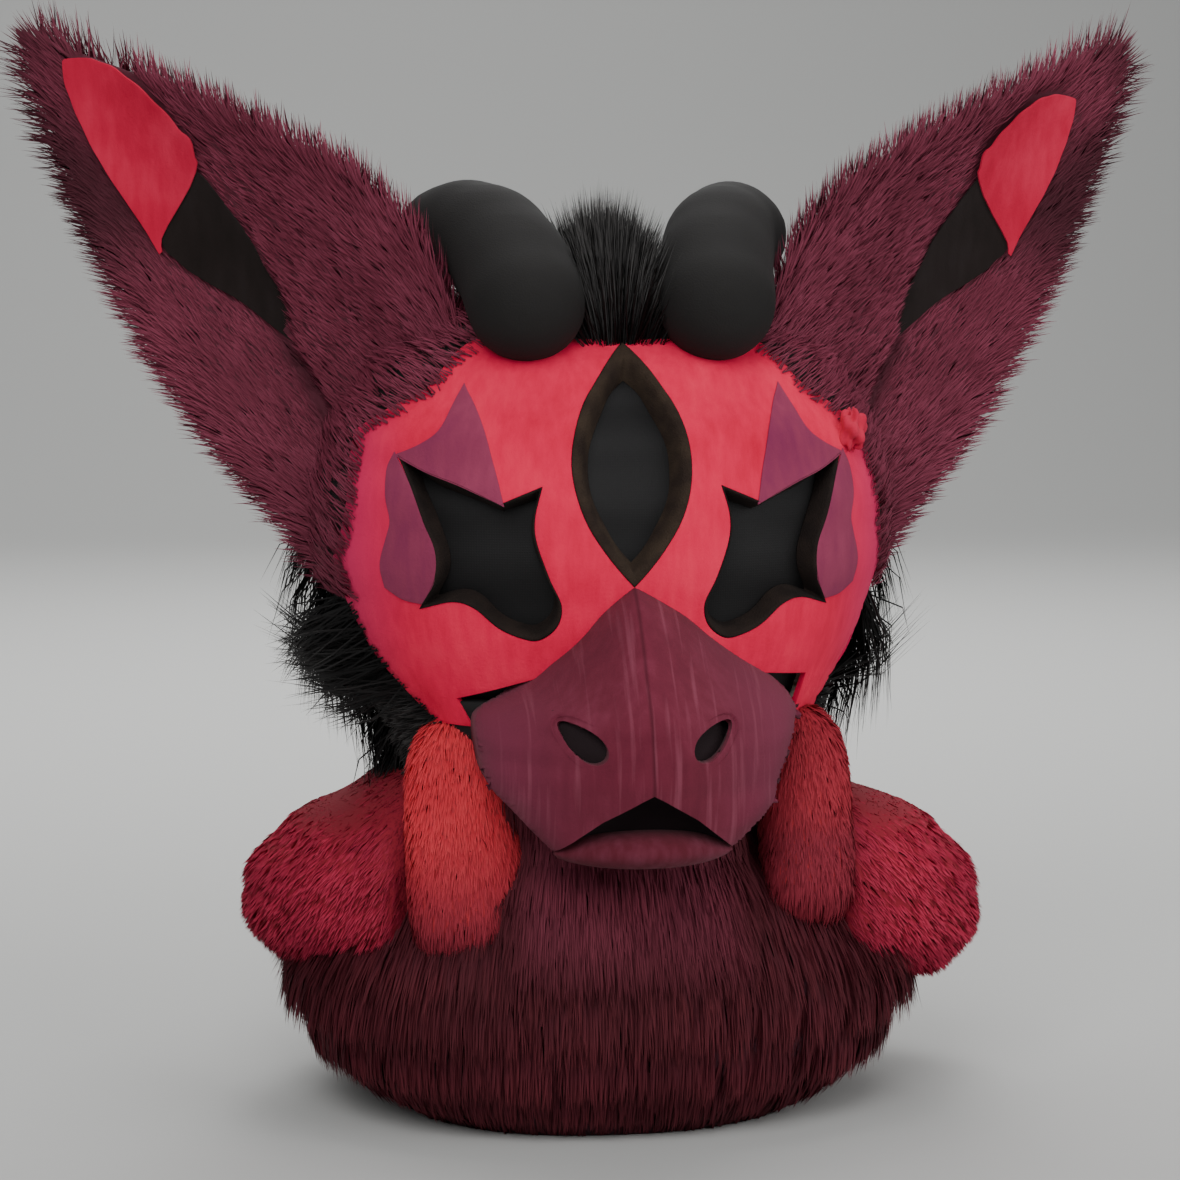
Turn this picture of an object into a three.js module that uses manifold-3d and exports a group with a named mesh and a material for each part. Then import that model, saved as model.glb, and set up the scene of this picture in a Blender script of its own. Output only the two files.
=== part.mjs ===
// A horned, long-eared fursuit head that rests on the hem of its neck fur.
// Millimetres, +Z up, the face looks along -Y, the origin is the middle of the ground it rests on.
// "left" is the side at -X, which a person facing the head sees on their left.

import * as THREE from "three";
import { mergeVertices } from "three/addons/utils/BufferGeometryUtils.js";
import Module from "manifold-3d";

const wasm = await Module();
wasm.setup();

// Clearances and sheet thicknesses
const GAP = 0.3;
const FOAM_WALL = 14;
const COVER_WALL = 3;
const BACKING_WALL = 4;
const MESH_WALL = 1.5;

// Foam head
const HEAD_HALF_WIDTH = 143;
const HEAD_FRONT = 117;
const HEAD_BACK = 146;
const HEAD_RIM_Z = 128;
const HEAD_HEIGHT = 294;
const HEAD_SEGMENTS = 18;
const HOLLOW_SEGMENTS = 12;

// Face cover, eyes and brow
const FACE_HALF_WIDTH = 136;
const FACE_HEIGHT = 186;
const FACE_LOW_Z = 210;
const EYE_X = 70.5;
const EYE_Z = 296;
const EYE_WIDTH = 71;
const EYE_HEIGHT = 88;
const EYE_RIM_WIDTH = 5;
const EYE_RECESS = 9;
const RIM_STANDS_PROUD = 4;
const BROW_Z = 336;
const BROW_HALF_WIDTH = 29;
const BROW_HALF_HEIGHT = 55;
const BROW_RIM_WIDTH = 8.5;
const SLOT_RECESS = 6;

// Muzzle and lower jaw
const MUZZLE_TOP_Z = 282;
const MUZZLE_HEIGHT = 126;
const MUZZLE_HALF_WIDTH = 80;
const MUZZLE_REACH = 182;
const MUZZLE_WALL = 7;
const NOSTRIL_X = 31;
const NOSTRIL_Z = 213;
const NOSTRIL_WIDTH = 21;
const NOSTRIL_HEIGHT = 15;
const NOSTRIL_TILT = 0.5;
const MOUTH_HALF_WIDTH = 43;
const MOUTH_CORNER_Z = 165;
const MOUTH_RISE = 22;
const JAW_HALF_WIDTH = 43;
const JAW_HEIGHT = 24;
const JAW_REACH = 172;
const JAW_OVERLAP = 4;
const MOUTH_LINING_SETBACK = 24;
const MOUTH_LINING_MARGIN = 14;

// Ears
const EAR_LENGTH = 300;
const EAR_LEAN_OUT = 0.645;
const EAR_LEAN_BACK = 0.23;
const EAR_TURN_OUT = 0.36;
const EAR_MEDIAL_WIDTH = 80;
const EAR_LATERAL_WIDTH = 70;
const EAR_WALL = 14;
const EAR_CUP = 26;
const EAR_FLAP = 9;
const EAR_LOCK_COUNT = 4;
const EAR_LOCK_LENGTH = 30;
const PATCH_WALL = 1.8;

// Horns and hair tuft
const HORN_RADIUS = 28;
const HORN_SIDES = 12;
const HAIR_HEIGHT = 62;
const HAIR_HALF_WIDTH = 22;
const HAIR_PAD_HEIGHT = 24;

// Neck fur
const NECK_HALF_WIDTH = 157;
const NECK_FRONT = 122;
const NECK_BACK = 126;
const NECK_HEIGHT = 150;
const NECK_WALL = 5;
const THROAT_WALL = 6;
const THROAT_HALF_WIDTH = 60;
const THROAT_HEM_Z = 96;
const STRIPE_WALL = 4;
const STRIPE_WIDTH = 38;
const SHOULDER_HALF_WIDTH = 184;
const SHOULDER_HALF_DEPTH = 97;
const SHOULDER_HEM_Z = 74;
const SHOULDER_HEIGHT = 92;
const SHOULDER_ROOT_X = 62;

// Fur locks
const LOCK_WIDTH = 26;
const LOCK_THICKNESS = 8;
const LOCK_ROOT_DEPTH = 3;
const LOCK_BEND = 0.4;
const LOCK_LIFT = 0.14;
const CHEEK_LOCK_LENGTH = 60;
const CHEEK_LOCK_WIDTH = 40;
const BACK_LOCK_LENGTH = 66;
const BACK_LOCK_WIDTH = 64;
const SKIRT_LOCK_LENGTH = 60;
const SKIRT_LOCK_WIDTH = 60;
const THROAT_LOCK_LENGTH = 38;

// Level, half width, reach to the front and to the back, as shares of the foam head's sizes
const HEAD_ROWS = [
  { up: 0.0, width: 0.626, front: 0.72, back: 0.67 },
  { up: 0.11, width: 0.667, front: 0.79, back: 0.74 },
  { up: 0.23, width: 0.72, front: 0.86, back: 0.835 },
  { up: 0.35, width: 0.845, front: 0.94, back: 0.92 },
  { up: 0.47, width: 0.952, front: 0.99, back: 0.975 },
  { up: 0.59, width: 1.0, front: 1.0, back: 1.0 },
  { up: 0.7, width: 0.973, front: 0.945, back: 0.985 },
  { up: 0.81, width: 0.87, front: 0.83, back: 0.91 },
  { up: 0.9, width: 0.7, front: 0.65, back: 0.76 },
  { up: 0.96, width: 0.47, front: 0.43, back: 0.53 },
  { up: 1.0, width: 0, front: 0, back: 0 },
];

// Level, half width and reach, as shares of the neck fur's sizes; the last two rows pass over the head's base
const NECK_ROWS = [
  { up: 0.0, width: 0.66, front: 0.755, back: 0.745 },
  { up: 0.08, width: 0.77, front: 0.85, back: 0.84 },
  { up: 0.21, width: 0.905, front: 0.95, back: 0.935 },
  { up: 0.39, width: 0.98, front: 1.0, back: 1.0 },
  { up: 0.57, width: 1.0, front: 1.0, back: 1.0 },
  { up: 0.73, width: 0.91, front: 0.92, back: 0.955 },
  { up: 0.88, width: 0.755, front: 0.835, back: 0.9 },
  { up: 1.0, width: 0.652, front: 0.78, back: 0.88 },
  { up: 1.17, width: 0.69, front: 0.84, back: 0.965 },
  { up: 1.3, width: 0.72, front: 0.875, back: 1.02 },
];

// Outer edge of the face cover: share of its half width, share of its height above its low point
const FACE_EDGE = [
  { across: 0, up: 0.995 },
  { across: 0.24, up: 0.99 },
  { across: 0.5, up: 1.0 },
  { across: 0.65, up: 0.91 },
  { across: 0.82, up: 0.815 },
  { across: 0.9, up: 0.75 },
  { across: 0.95, up: 0.65 },
  { across: 0.985, up: 0.53 },
  { across: 1.0, up: 0.42 },
  { across: 0.98, up: 0.32 },
  { across: 0.89, up: 0.2 },
  { across: 0.77, up: 0.105 },
  { across: 0.68, up: 0.045 },
  { across: 0.61, up: 0.0 },
  { across: 0, up: 0.0 },
];

// Star-cornered eye opening, counted from its middle in shares of its width and height
const EYE_EDGE = [
  { out: 0.5, up: 0.5 },
  { out: 0.36, up: 0.43 },
  { out: 0.15, up: 0.35 },
  { out: -0.105, up: 0.25 },
  { out: -0.205, up: 0.265 },
  { out: -0.375, up: 0.31 },
  { out: -0.33, up: 0.16 },
  { out: -0.345, up: 0.02 },
  { out: -0.415, up: -0.17 },
  { out: -0.5, up: -0.31 },
  { out: -0.47, up: -0.43 },
  { out: -0.345, up: -0.5 },
  { out: -0.205, up: -0.475 },
  { out: -0.065, up: -0.41 },
  { out: 0.08, up: -0.32 },
  { out: 0.373, up: -0.305 },
  { out: 0.303, up: -0.15 },
  { out: 0.303, up: 0.02 },
  { out: 0.373, up: 0.16 },
  { out: 0.444, up: 0.36 },
];

// Inlaid markings above and beside the eye, in the eye's own shares
const UPPER_MARKING = [
  { out: 0.08, up: 0.87 },
  { out: -0.19, up: 0.27 },
  { out: 0.15, up: 0.2 },
  { out: 0.5, up: 0.5 },
  { out: 0.43, up: 0.545 },
  { out: 0.29, up: 0.57 },
  { out: 0.19, up: 0.71 },
];
const SIDE_MARKING = [
  { out: 0.53, up: 0.455 },
  { out: 0.42, up: 0.3 },
  { out: 0.25, up: 0.02 },
  { out: 0.25, up: -0.14 },
  { out: 0.36, up: -0.23 },
  { out: 0.5, up: -0.225 },
  { out: 0.6, up: -0.18 },
  { out: 0.615, up: -0.07 },
  { out: 0.575, up: 0.125 },
  { out: 0.56, up: 0.32 },
];

// Muzzle level below its top, half width, reach of its middle and reach of its side edge
const MUZZLE_ROWS = [
  { down: 0.0, width: 0.02, middle: 0.655, side: 0.6 },
  { down: 0.1, width: 0.225, middle: 0.73, side: 0.6 },
  { down: 0.29, width: 0.6, middle: 0.85, side: 0.58 },
  { down: 0.42, width: 0.85, middle: 0.925, side: 0.57 },
  { down: 0.5, width: 1.0, middle: 0.965, side: 0.6 },
  { down: 0.66, width: 0.945, middle: 1.0, side: 0.69 },
  { down: 0.8, width: 0.85, middle: 0.99, side: 0.75 },
  { down: 0.94, width: 0.63, middle: 0.965, side: 0.83 },
  { down: 1.0, width: 0.54, middle: 0.955, side: 0.86 },
];

// Ear level along its axis, reach to the crown's side and to the outer side
const EAR_ROWS = [
  { along: -0.14, medial: 0.5, lateral: 0.88 },
  { along: 0.0, medial: 0.68, lateral: 1.02 },
  { along: 0.1, medial: 0.8, lateral: 1.0 },
  { along: 0.23, medial: 0.97, lateral: 1.0 },
  { along: 0.36, medial: 1.0, lateral: 0.95 },
  { along: 0.5, medial: 0.86, lateral: 0.83 },
  { along: 0.63, medial: 0.67, lateral: 0.67 },
  { along: 0.76, medial: 0.46, lateral: 0.48 },
  { along: 0.88, medial: 0.25, lateral: 0.26 },
  { along: 0.98, medial: 0.04, lateral: 0.05 },
];

// Ear patches: level along the ear, and their two edges in shares of the ear's crown-side width
const TIP_PATCH = [
  { along: 0.56, low: -0.3, high: -0.26 },
  { along: 0.6, low: -0.32, high: 0.16 },
  { along: 0.68, low: -0.32, high: 0.24 },
  { along: 0.76, low: -0.26, high: 0.18 },
  { along: 0.83, low: -0.19, high: 0.08 },
  { along: 0.895, low: -0.1, high: -0.06 },
];
const BLACK_PATCH = [
  { along: 0.28, low: -0.07, high: -0.03 },
  { along: 0.34, low: -0.12, high: 0.02 },
  { along: 0.42, low: -0.19, high: 0.09 },
  { along: 0.5, low: -0.26, high: 0.17 },
  { along: 0.55, low: -0.29, high: 0.18 },
  { along: 0.585, low: 0.08, high: 0.15 },
];

// The ear's base on the head: shares of the head's half width, of its reach to the front and of its height
const EAR_BASE = { across: 0.678, depth: -0.29, up: 0.687 };

// Horn path over the forehead and crown, in the head's own shares, with its radius as a share
const HORN_PATH = [
  { across: 0.322, depth: -0.863, up: 0.935, radius: 0.35 },
  { across: 0.322, depth: -0.812, up: 0.939, radius: 0.8 },
  { across: 0.329, depth: -0.675, up: 0.976, radius: 1.0 },
  { across: 0.364, depth: -0.41, up: 1.048, radius: 1.04 },
  { across: 0.434, depth: -0.137, up: 1.085, radius: 1.0 },
  { across: 0.517, depth: 0.103, up: 1.088, radius: 0.92 },
  { across: 0.601, depth: 0.282, up: 1.078, radius: 0.65 },
  { across: 0.643, depth: 0.368, up: 1.075, radius: 0.25 },
];

// Rows of hair locks, and the pad that they stand on, in the head's own shares
const HAIR_ROWS = [
  { depth: -0.564, up: 0.912, count: 3, lean: -0.25 },
  { depth: -0.359, up: 0.959, count: 3, lean: -0.05 },
  { depth: -0.12, up: 0.986, count: 3, lean: 0.15 },
];
const HAIR_PAD = [
  { depth: -0.667, up: 0.884, half: 0.4 },
  { depth: -0.513, up: 0.932, half: 0.62 },
  { depth: -0.256, up: 0.986, half: 0.62 },
  { depth: 0, up: 1.007, half: 0.62 },
  { depth: 0.103, up: 1.007, half: 0.4 },
];

// Rows of cheek and back locks: level and length as shares, and the turns that they run between
const CHEEK_LOCKS = [
  { up: 0.432, length: 0.83, from: -0.4, to: 0.0, count: 2 },
  { up: 0.354, length: 1.03, from: -0.48, to: 0.3, count: 3 },
  { up: 0.262, length: 0.93, from: -0.5, to: 0.35, count: 2 },
];
const BACK_LOCKS = [
  { up: 0.738, count: 3 },
  { up: 0.534, count: 3 },
  { up: 0.33, count: 3 },
];
const BACK_LOCK_TURN = 0.75;

// Upper half of the mouth's arch, in shares of its half width and rise
const MOUTH_ARCH = [
  { across: 1, up: 0 },
  { across: 0.5, up: 0.62 },
  { across: 0.12, up: 0.9 },
  { across: 0, up: 1 },
];

// Lower jaw level below its top, half width and reach
const JAW_ROWS = [
  { down: 0.0, width: 0.97, reach: 0.985 },
  { down: 0.2, width: 1.0, reach: 1.0 },
  { down: 0.6, width: 0.86, reach: 0.975 },
  { down: 1.0, width: 0.5, reach: 0.9 },
];

// Cheek slot outline beside the muzzle, in the muzzle's shares
const SLOT_EDGE = [
  { across: 0.58, down: 0.33 },
  { across: 1.1, down: 0.41 },
  { across: 1.03, down: 0.51 },
  { across: 0.8, down: 0.56 },
  { across: 0.5, down: 0.44 },
];

// Rows of locks on the neck fur: level and length as shares, and the turns that they run between
const SKIRT_LOCKS = [
  { up: 0.613, length: 1.03, count: 3, from: -0.5 * Math.PI - 0.42, to: -0.5 * Math.PI + 0.42 },
  { up: 0.427, length: 0.93, count: 8, from: 0, to: 1.75 * Math.PI },
  { up: 0.24, length: 0.63, count: 7, from: 0.1, to: 1.71 * Math.PI + 0.1 },
  { up: 0.72, length: 1.0, count: 3, from: 0.5 * Math.PI - 0.5, to: 0.5 * Math.PI + 0.5 },
];

// Outer edge of the throat fur: share of its half width, share of its height above its hem
const THROAT_EDGE = [
  { across: 0.9, level: 0.62 },
  { across: 1.0, level: 0.3 },
  { across: 0.96, level: 0.0 },
];

// Shoulder lobe level above its hem, and its reach to the side and its depth
const SHOULDER_ROWS = [
  { up: 0.0, width: 0.93, depth: 0.86 },
  { up: 0.07, width: 0.985, depth: 0.95 },
  { up: 0.24, width: 1.0, depth: 1.0 },
  { up: 0.46, width: 0.995, depth: 1.02 },
  { up: 0.72, width: 0.94, depth: 1.0 },
  { up: 0.92, width: 0.82, depth: 0.94 },
  { up: 1.0, width: 0.68, depth: 0.86 },
];

const ROUNDNESS = 2.3;
const FAR = 400;

// A geometry's triangles, turned to face outwards, as a solid to join and cut
function solidFrom(geometry) {
  const plain = geometry.clone();
  plain.deleteAttribute("normal");
  plain.deleteAttribute("uv");
  const merged = mergeVertices(plain, 1e-4);
  const spots = merged.attributes.position;
  const triangles = Uint32Array.from(merged.index.array);
  const [a, b, c] = [new THREE.Vector3(), new THREE.Vector3(), new THREE.Vector3()];
  const kept = [];
  let volume = 0;
  for (let i = 0; i < triangles.length; i += 3) {
    const [p, q, r] = [triangles[i], triangles[i + 1], triangles[i + 2]];
    if (p === q || q === r || r === p) continue;
    kept.push(p, q, r);
    a.fromBufferAttribute(spots, p);
    b.fromBufferAttribute(spots, q);
    c.fromBufferAttribute(spots, r);
    volume += a.dot(b.cross(c));
  }
  if (volume < 0) kept.reverse();
  const mesh = new wasm.Mesh({
    numProp: 3,
    vertProperties: Float32Array.from(spots.array),
    triVerts: Uint32Array.from(kept),
  });
  return new wasm.Manifold(mesh);
}

// A solid back as a geometry
function geometryFrom(solid) {
  const mesh = solid.getMesh();
  const geometry = new THREE.BufferGeometry();
  geometry.setAttribute("position", new THREE.BufferAttribute(Float32Array.from(mesh.vertProperties), 3));
  geometry.setIndex(new THREE.BufferAttribute(Uint32Array.from(mesh.triVerts), 1));
  geometry.computeVertexNormals();
  return geometry;
}

// The largest body of a solid, without the crumbs that a cut can leave
function mainBody(solid) {
  const bodies = solid.decompose();
  return bodies.reduce((best, body) => (body.volume() > best.volume() ? body : best));
}

function mirrored(solid) {
  return solidFrom(geometryFrom(solid).scale(-1, 1, 1));
}

// A closed loft through rings of points, with a fan over its first and last ring
function loft(rings) {
  const count = rings[0].length;
  const spots = rings.flat();
  const faces = [];
  for (let row = 0; row + 1 < rings.length; row += 1) {
    for (let i = 0; i < count; i += 1) {
      const a = row * count + i;
      const b = row * count + ((i + 1) % count);
      faces.push(a, b, b + count, a, b + count, a + count);
    }
  }
  for (const [row, turn] of [[0, 1], [rings.length - 1, -1]]) {
    const middle = rings[row].reduce((sum, p) => sum.add(p), new THREE.Vector3()).divideScalar(count);
    spots.push(middle);
    for (let i = 0; i < count; i += 1) {
      const a = row * count + i;
      const b = row * count + ((i + 1) % count);
      faces.push(...(turn > 0 ? [spots.length - 1, b, a] : [spots.length - 1, a, b]));
    }
  }
  const geometry = new THREE.BufferGeometry().setFromPoints(spots);
  geometry.setIndex(faces);
  return solidFrom(geometry);
}

// A closed loft along rows of points, each row a strip that is closed to a ring by its second strip
function slab(fronts, backs) {
  return loft(fronts.map((row, i) => [...row, ...[...backs[i]].reverse()]));
}

// The value of a table's column at any level, on a smooth curve through its rows
function column(rows, key, name) {
  const levels = rows.map((row) => row[key]);
  const values = rows.map((row) => row[name]);
  const curve = new THREE.CubicInterpolant(levels, values, 1);
  return (level) => curve.evaluate(THREE.MathUtils.clamp(level, levels[0], levels.at(-1)))[0];
}

// A rounded form about the Z axis, with rings that can be moved in or out along its own normals
class RoundForm {
  constructor(rows, size, segments) {
    this.segments = segments;
    this.size = size;
    this.spots = rows.map((row) => this.ring(row, size));
    this.normals = this.spots.map((ring, row) => ring.map((_, i) => this.normal(row, i)));
  }

  ring(row, size) {
    const points = [];
    for (let i = 0; i < this.segments; i += 1) {
      const turn = ((i + 0.5) / this.segments) * 2 * Math.PI;
      const [c, s] = [Math.cos(turn), Math.sin(turn)];
      const reach = s < 0 ? row.front * size.front : row.back * size.back;
      const x = Math.sign(c) * Math.abs(c) ** (2 / ROUNDNESS) * row.width * size.width;
      const y = Math.sign(s) * Math.abs(s) ** (2 / ROUNDNESS) * reach;
      points.push(new THREE.Vector3(x, y, size.low + row.up * size.height));
    }
    return points;
  }

  normal(row, i) {
    const last = this.spots.length - 1;
    if (this.spots[row][i].x === 0) return new THREE.Vector3(0, 0, 1);
    const above = this.spots[Math.min(row + 1, last)][i];
    const below = this.spots[Math.max(row - 1, 0)][i];
    const next = this.spots[row][(i + 1) % this.segments];
    const before = this.spots[row][(i + this.segments - 1) % this.segments];
    const up = above.clone().sub(below);
    const normal = next.clone().sub(before).cross(up);
    if (row === 0 || row === last) normal.z = 0;
    return normal.normalize();
  }

  // The form moved out by a distance, from one row to another, lengthened below by an overrun
  solid(out, { rows = this.spots.length, overrun = 0 } = {}) {
    const rings = this.spots.slice(0, rows).map((ring, row) =>
      ring.map((p, i) => p.clone().addScaledVector(this.normals[row][i], out)));
    if (overrun > 0) rings.unshift(rings[0].map((p) => p.clone().setZ(p.z - overrun)));
    return loft(rings);
  }

  // The spot and normal of the form at a turn around Z and a share of its height
  at(turn, up) {
    const level = this.size.low + up * this.size.height;
    const side = ((turn / (2 * Math.PI)) * this.segments - 0.5 + this.segments) % this.segments;
    const i = Math.floor(side) % this.segments;
    const j = (i + 1) % this.segments;
    const zs = this.spots.map((ring) => ring[0].z);
    let row = zs.findIndex((z) => z > level) - 1;
    if (row < 0) row = zs.length - 2;
    const share = THREE.MathUtils.clamp((level - zs[row]) / (zs[row + 1] - zs[row]), 0, 1);
    const blend = (grid) => {
      const low = grid[row][i].clone().lerp(grid[row][j], side - Math.floor(side));
      const high = grid[row + 1][i].clone().lerp(grid[row + 1][j], side - Math.floor(side));
      return low.lerp(high, share);
    };
    return { spot: blend(this.spots), normal: blend(this.normals).normalize() };
  }
}

// An outline in X and Z, pushed along Y through everything from one depth to another
function through(points, from = -FAR, to = 0) {
  const shape = new THREE.Shape(points);
  const geometry = new THREE.ExtrudeGeometry(shape, { depth: to - from, bevelEnabled: false });
  return solidFrom(geometry.rotateX(Math.PI / 2).translate(0, to, 0));
}

// An outline moved inwards by a distance along the bisectors of its corners
function inset(points, distance) {
  const turn = Math.sign(THREE.ShapeUtils.area(points));
  return points.map((p, i) => {
    const before = points[(i + points.length - 1) % points.length];
    const after = points[(i + 1) % points.length];
    const a = p.clone().sub(before).normalize();
    const b = after.clone().sub(p).normalize();
    const bisector = new THREE.Vector2(-(a.y + b.y), a.x + b.x).normalize();
    const spread = Math.max(0.45, bisector.dot(new THREE.Vector2(-a.y, a.x)));
    return p.clone().addScaledVector(bisector, (turn * distance) / spread);
  });
}

// An outline drawn in towards its middle, so that a rim of about one width is left around it
function shrunk(points, rim) {
  const box = new THREE.Box2().setFromPoints(points);
  const middle = box.getCenter(new THREE.Vector2());
  const size = box.getSize(new THREE.Vector2());
  return points.map((p) => new THREE.Vector2(
    middle.x + (p.x - middle.x) * (1 - (2 * rim) / size.x),
    middle.y + (p.y - middle.y) * (1 - (2.6 * rim) / size.y),
  ));
}

function flipped(points) {
  return points.map((p) => new THREE.Vector2(-p.x, p.y)).reverse();
}

const headSize = {
  width: HEAD_HALF_WIDTH, front: HEAD_FRONT, back: HEAD_BACK, low: HEAD_RIM_Z, height: HEAD_HEIGHT,
};
const head = new RoundForm(HEAD_ROWS, headSize, HEAD_SEGMENTS);
const hollow = new RoundForm(HEAD_ROWS, headSize, HOLLOW_SEGMENTS);
const neck = new RoundForm(
  NECK_ROWS,
  { width: NECK_HALF_WIDTH, front: NECK_FRONT, back: NECK_BACK, low: 0, height: NECK_HEIGHT },
  HEAD_SEGMENTS,
);

// One lock of fur: a leaf-shaped wedge that leaves a form, lies along its fall and lifts off by a splay
function lock(root, out, fall, length, width = LOCK_WIDTH, splay = 0.1) {
  const start = root.clone().addScaledVector(out, -LOCK_ROOT_DEPTH);
  const bend = root
    .clone()
    .addScaledVector(out, length * (LOCK_LIFT + splay / 2))
    .addScaledVector(fall, length * LOCK_BEND);
  const end = bend
    .clone()
    .addScaledVector(fall, length * (1 - LOCK_BEND))
    .addScaledVector(out, (length * splay) / 2);
  const side = new THREE.Vector3().crossVectors(out, fall).normalize();
  const rings = [[start, 0.5], [bend, 1], [end, 0]].map(([spot, share]) => {
    const across = side.clone().multiplyScalar((width / 2) * share);
    const ridge = new THREE.Vector3().crossVectors(side, end.clone().sub(start).normalize());
    if (ridge.dot(out) < 0) ridge.negate();
    ridge.multiplyScalar(LOCK_THICKNESS * share);
    return [spot.clone().add(across), spot.clone().sub(across), spot.clone().add(ridge)];
  });
  return loft(rings);
}

// A row of locks round a form, from one turn to another
function lockRow(form, { from, to, count, up, length, fall, width, splay, lift = 0 }) {
  const locks = [];
  for (let i = 0; i < count; i += 1) {
    const share = count > 1 ? i / (count - 1) : 0.5;
    const turn = THREE.MathUtils.lerp(from, to, share);
    const { spot, normal } = form.at((turn + 2 * Math.PI) % (2 * Math.PI), up);
    const root = spot.addScaledVector(normal, lift);
    const uneven = 1 + 0.12 * Math.sin(i * 2.4 + up * 9);
    locks.push(lock(root, normal, fall.clone().normalize(), length * uneven, width, splay));
  }
  return locks;
}

function fused(body, locks) {
  return locks.reduce((sum, piece) => sum.add(piece), body);
}

// A spot in the head's own shares
function headSpot({ across, depth, up }) {
  return new THREE.Vector3(across * HEAD_HALF_WIDTH, depth * HEAD_FRONT, HEAD_RIM_Z + up * HEAD_HEIGHT);
}

const DOWN = new THREE.Vector3(0, 0, -1);
const FRONT = -Math.PI / 2;

// Outlines on the face
const faceHalf = FACE_EDGE.map(
  (row) => new THREE.Vector2(row.across * FACE_HALF_WIDTH, FACE_LOW_Z + row.up * FACE_HEIGHT));
const faceEdge = [...faceHalf, ...flipped(faceHalf.slice(1, -1))];
const eyeSpot = (row) => new THREE.Vector2(EYE_X + row.out * EYE_WIDTH, EYE_Z + row.up * EYE_HEIGHT);
const eyeEdge = EYE_EDGE.map(eyeSpot);
const upperMarking = UPPER_MARKING.map(eyeSpot);
const sideMarking = SIDE_MARKING.map(eyeSpot);
const BROW_STEPS = 7;
const browEdge = [1, -1].flatMap((side) => Array.from({ length: BROW_STEPS }, (_, i) => {
  const level = side * ((2 * i) / BROW_STEPS - 1);
  return new THREE.Vector2(side * BROW_HALF_WIDTH * (1 - level ** 2), BROW_Z + level * BROW_HALF_HEIGHT);
}));

// The muzzle as a full block, grown by a distance
function muzzleBlock(grow, overrun = 0, rowSpots = 4) {
  const rings = MUZZLE_ROWS.map((row) => {
    const z = MUZZLE_TOP_Z - row.down * MUZZLE_HEIGHT + (row.down === 0 ? grow * 2 : 0);
    const half = Math.max(1, row.width * MUZZLE_HALF_WIDTH + grow);
    const spots = [];
    for (let i = -rowSpots; i <= rowSpots; i += 1) {
      const across = i / rowSpots;
      const reach = THREE.MathUtils.lerp(row.middle, row.side, Math.abs(across) ** 1.35) * MUZZLE_REACH;
      spots.push(new THREE.Vector3(across * half, -reach - grow, z));
    }
    return [...spots, new THREE.Vector3(half, 0, z), new THREE.Vector3(-half, 0, z)];
  });
  if (overrun > 0) rings.push(rings.at(-1).map((p) => p.clone().setZ(p.z - overrun)));
  return loft(rings);
}

// The mouth's arch, open below, moved up by a margin
function mouthOutline(low, margin) {
  const arch = MOUTH_ARCH.map((row) => new THREE.Vector2(
    row.across * MOUTH_HALF_WIDTH, MOUTH_CORNER_Z + row.up * MOUTH_RISE + margin));
  const corner = new THREE.Vector2(MOUTH_HALF_WIDTH, low);
  return [corner, ...arch, ...flipped([corner, ...arch.slice(0, -1)])];
}
const nostril = Array.from({ length: 8 }, (_, i) => {
  const turn = (i / 8) * 2 * Math.PI;
  const across = (NOSTRIL_WIDTH / 2) * Math.cos(turn);
  const up = (NOSTRIL_HEIGHT / 2) * Math.sin(turn) * (1 - 0.35 * Math.cos(turn));
  const tilted = new THREE.Vector2(across, up).rotateAround(new THREE.Vector2(), NOSTRIL_TILT);
  return tilted.add(new THREE.Vector2(NOSTRIL_X, NOSTRIL_Z));
});
const slotEdge = SLOT_EDGE.map(
  (row) => new THREE.Vector2(row.across * MUZZLE_HALF_WIDTH, MUZZLE_TOP_Z - row.down * MUZZLE_HEIGHT));

const pieces = new THREE.Group();

function piece(name, solid, color, roughness = 0.95) {
  const material = new THREE.MeshStandardMaterial({ color, roughness, metalness: 0 });
  const mesh = new THREE.Mesh(geometryFrom(solid), material);
  mesh.name = name;
  pieces.add(mesh);
}

function pair(name, solid, color, roughness) {
  piece(`${name}_right`, solid, color, roughness);
  piece(`${name}_left`, mirrored(solid), color, roughness);
}

// Cuts that several pieces share
const eyeHole = through(eyeEdge);
const eyeHoles = eyeHole.add(mirrored(eyeHole));
const browHole = through(browEdge);
const slotHole = through(slotEdge).subtract(muzzleBlock(GAP));
const slotHoles = slotHole.add(mirrored(slotHole));
const markings = through(upperMarking).add(through(sideMarking));
const bothMarkings = markings.add(mirrored(markings));

// Foam head: a hollow dome, open at the neck, with eye openings and shallow brow and cheek recesses
const browRecess = browHole.subtract(head.solid(-EYE_RECESS - MESH_WALL));
const slotRecess = slotHoles.subtract(head.solid(-SLOT_RECESS));
const foam = head
  .solid(0)
  .subtract(hollow.solid(-FOAM_WALL, { overrun: FOAM_WALL }))
  .subtract(eyeHoles)
  .subtract(browRecess)
  .subtract(slotRecess);
piece("head_foam", mainBody(foam), 0xd8d2c4);

// Felt face cover with its inlaid markings
const coverLayer = head.solid(GAP + COVER_WALL).subtract(head.solid(GAP));
const cover = coverLayer
  .intersect(through(faceEdge))
  .subtract(muzzleBlock(2 * GAP))
  .subtract(eyeHoles)
  .subtract(browHole)
  .subtract(slotHoles)
  .subtract(bothMarkings);
piece("face_cover", mainBody(cover), 0xdc3c50);
const inlay = (outline) => mainBody(coverLayer.intersect(through(inset(outline, GAP))).subtract(eyeHole));
pair("upper_marking", inlay(upperMarking), 0x8a3a54);
pair("side_marking", inlay(sideMarking).subtract(through(upperMarking)), 0x8a3a54);

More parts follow.
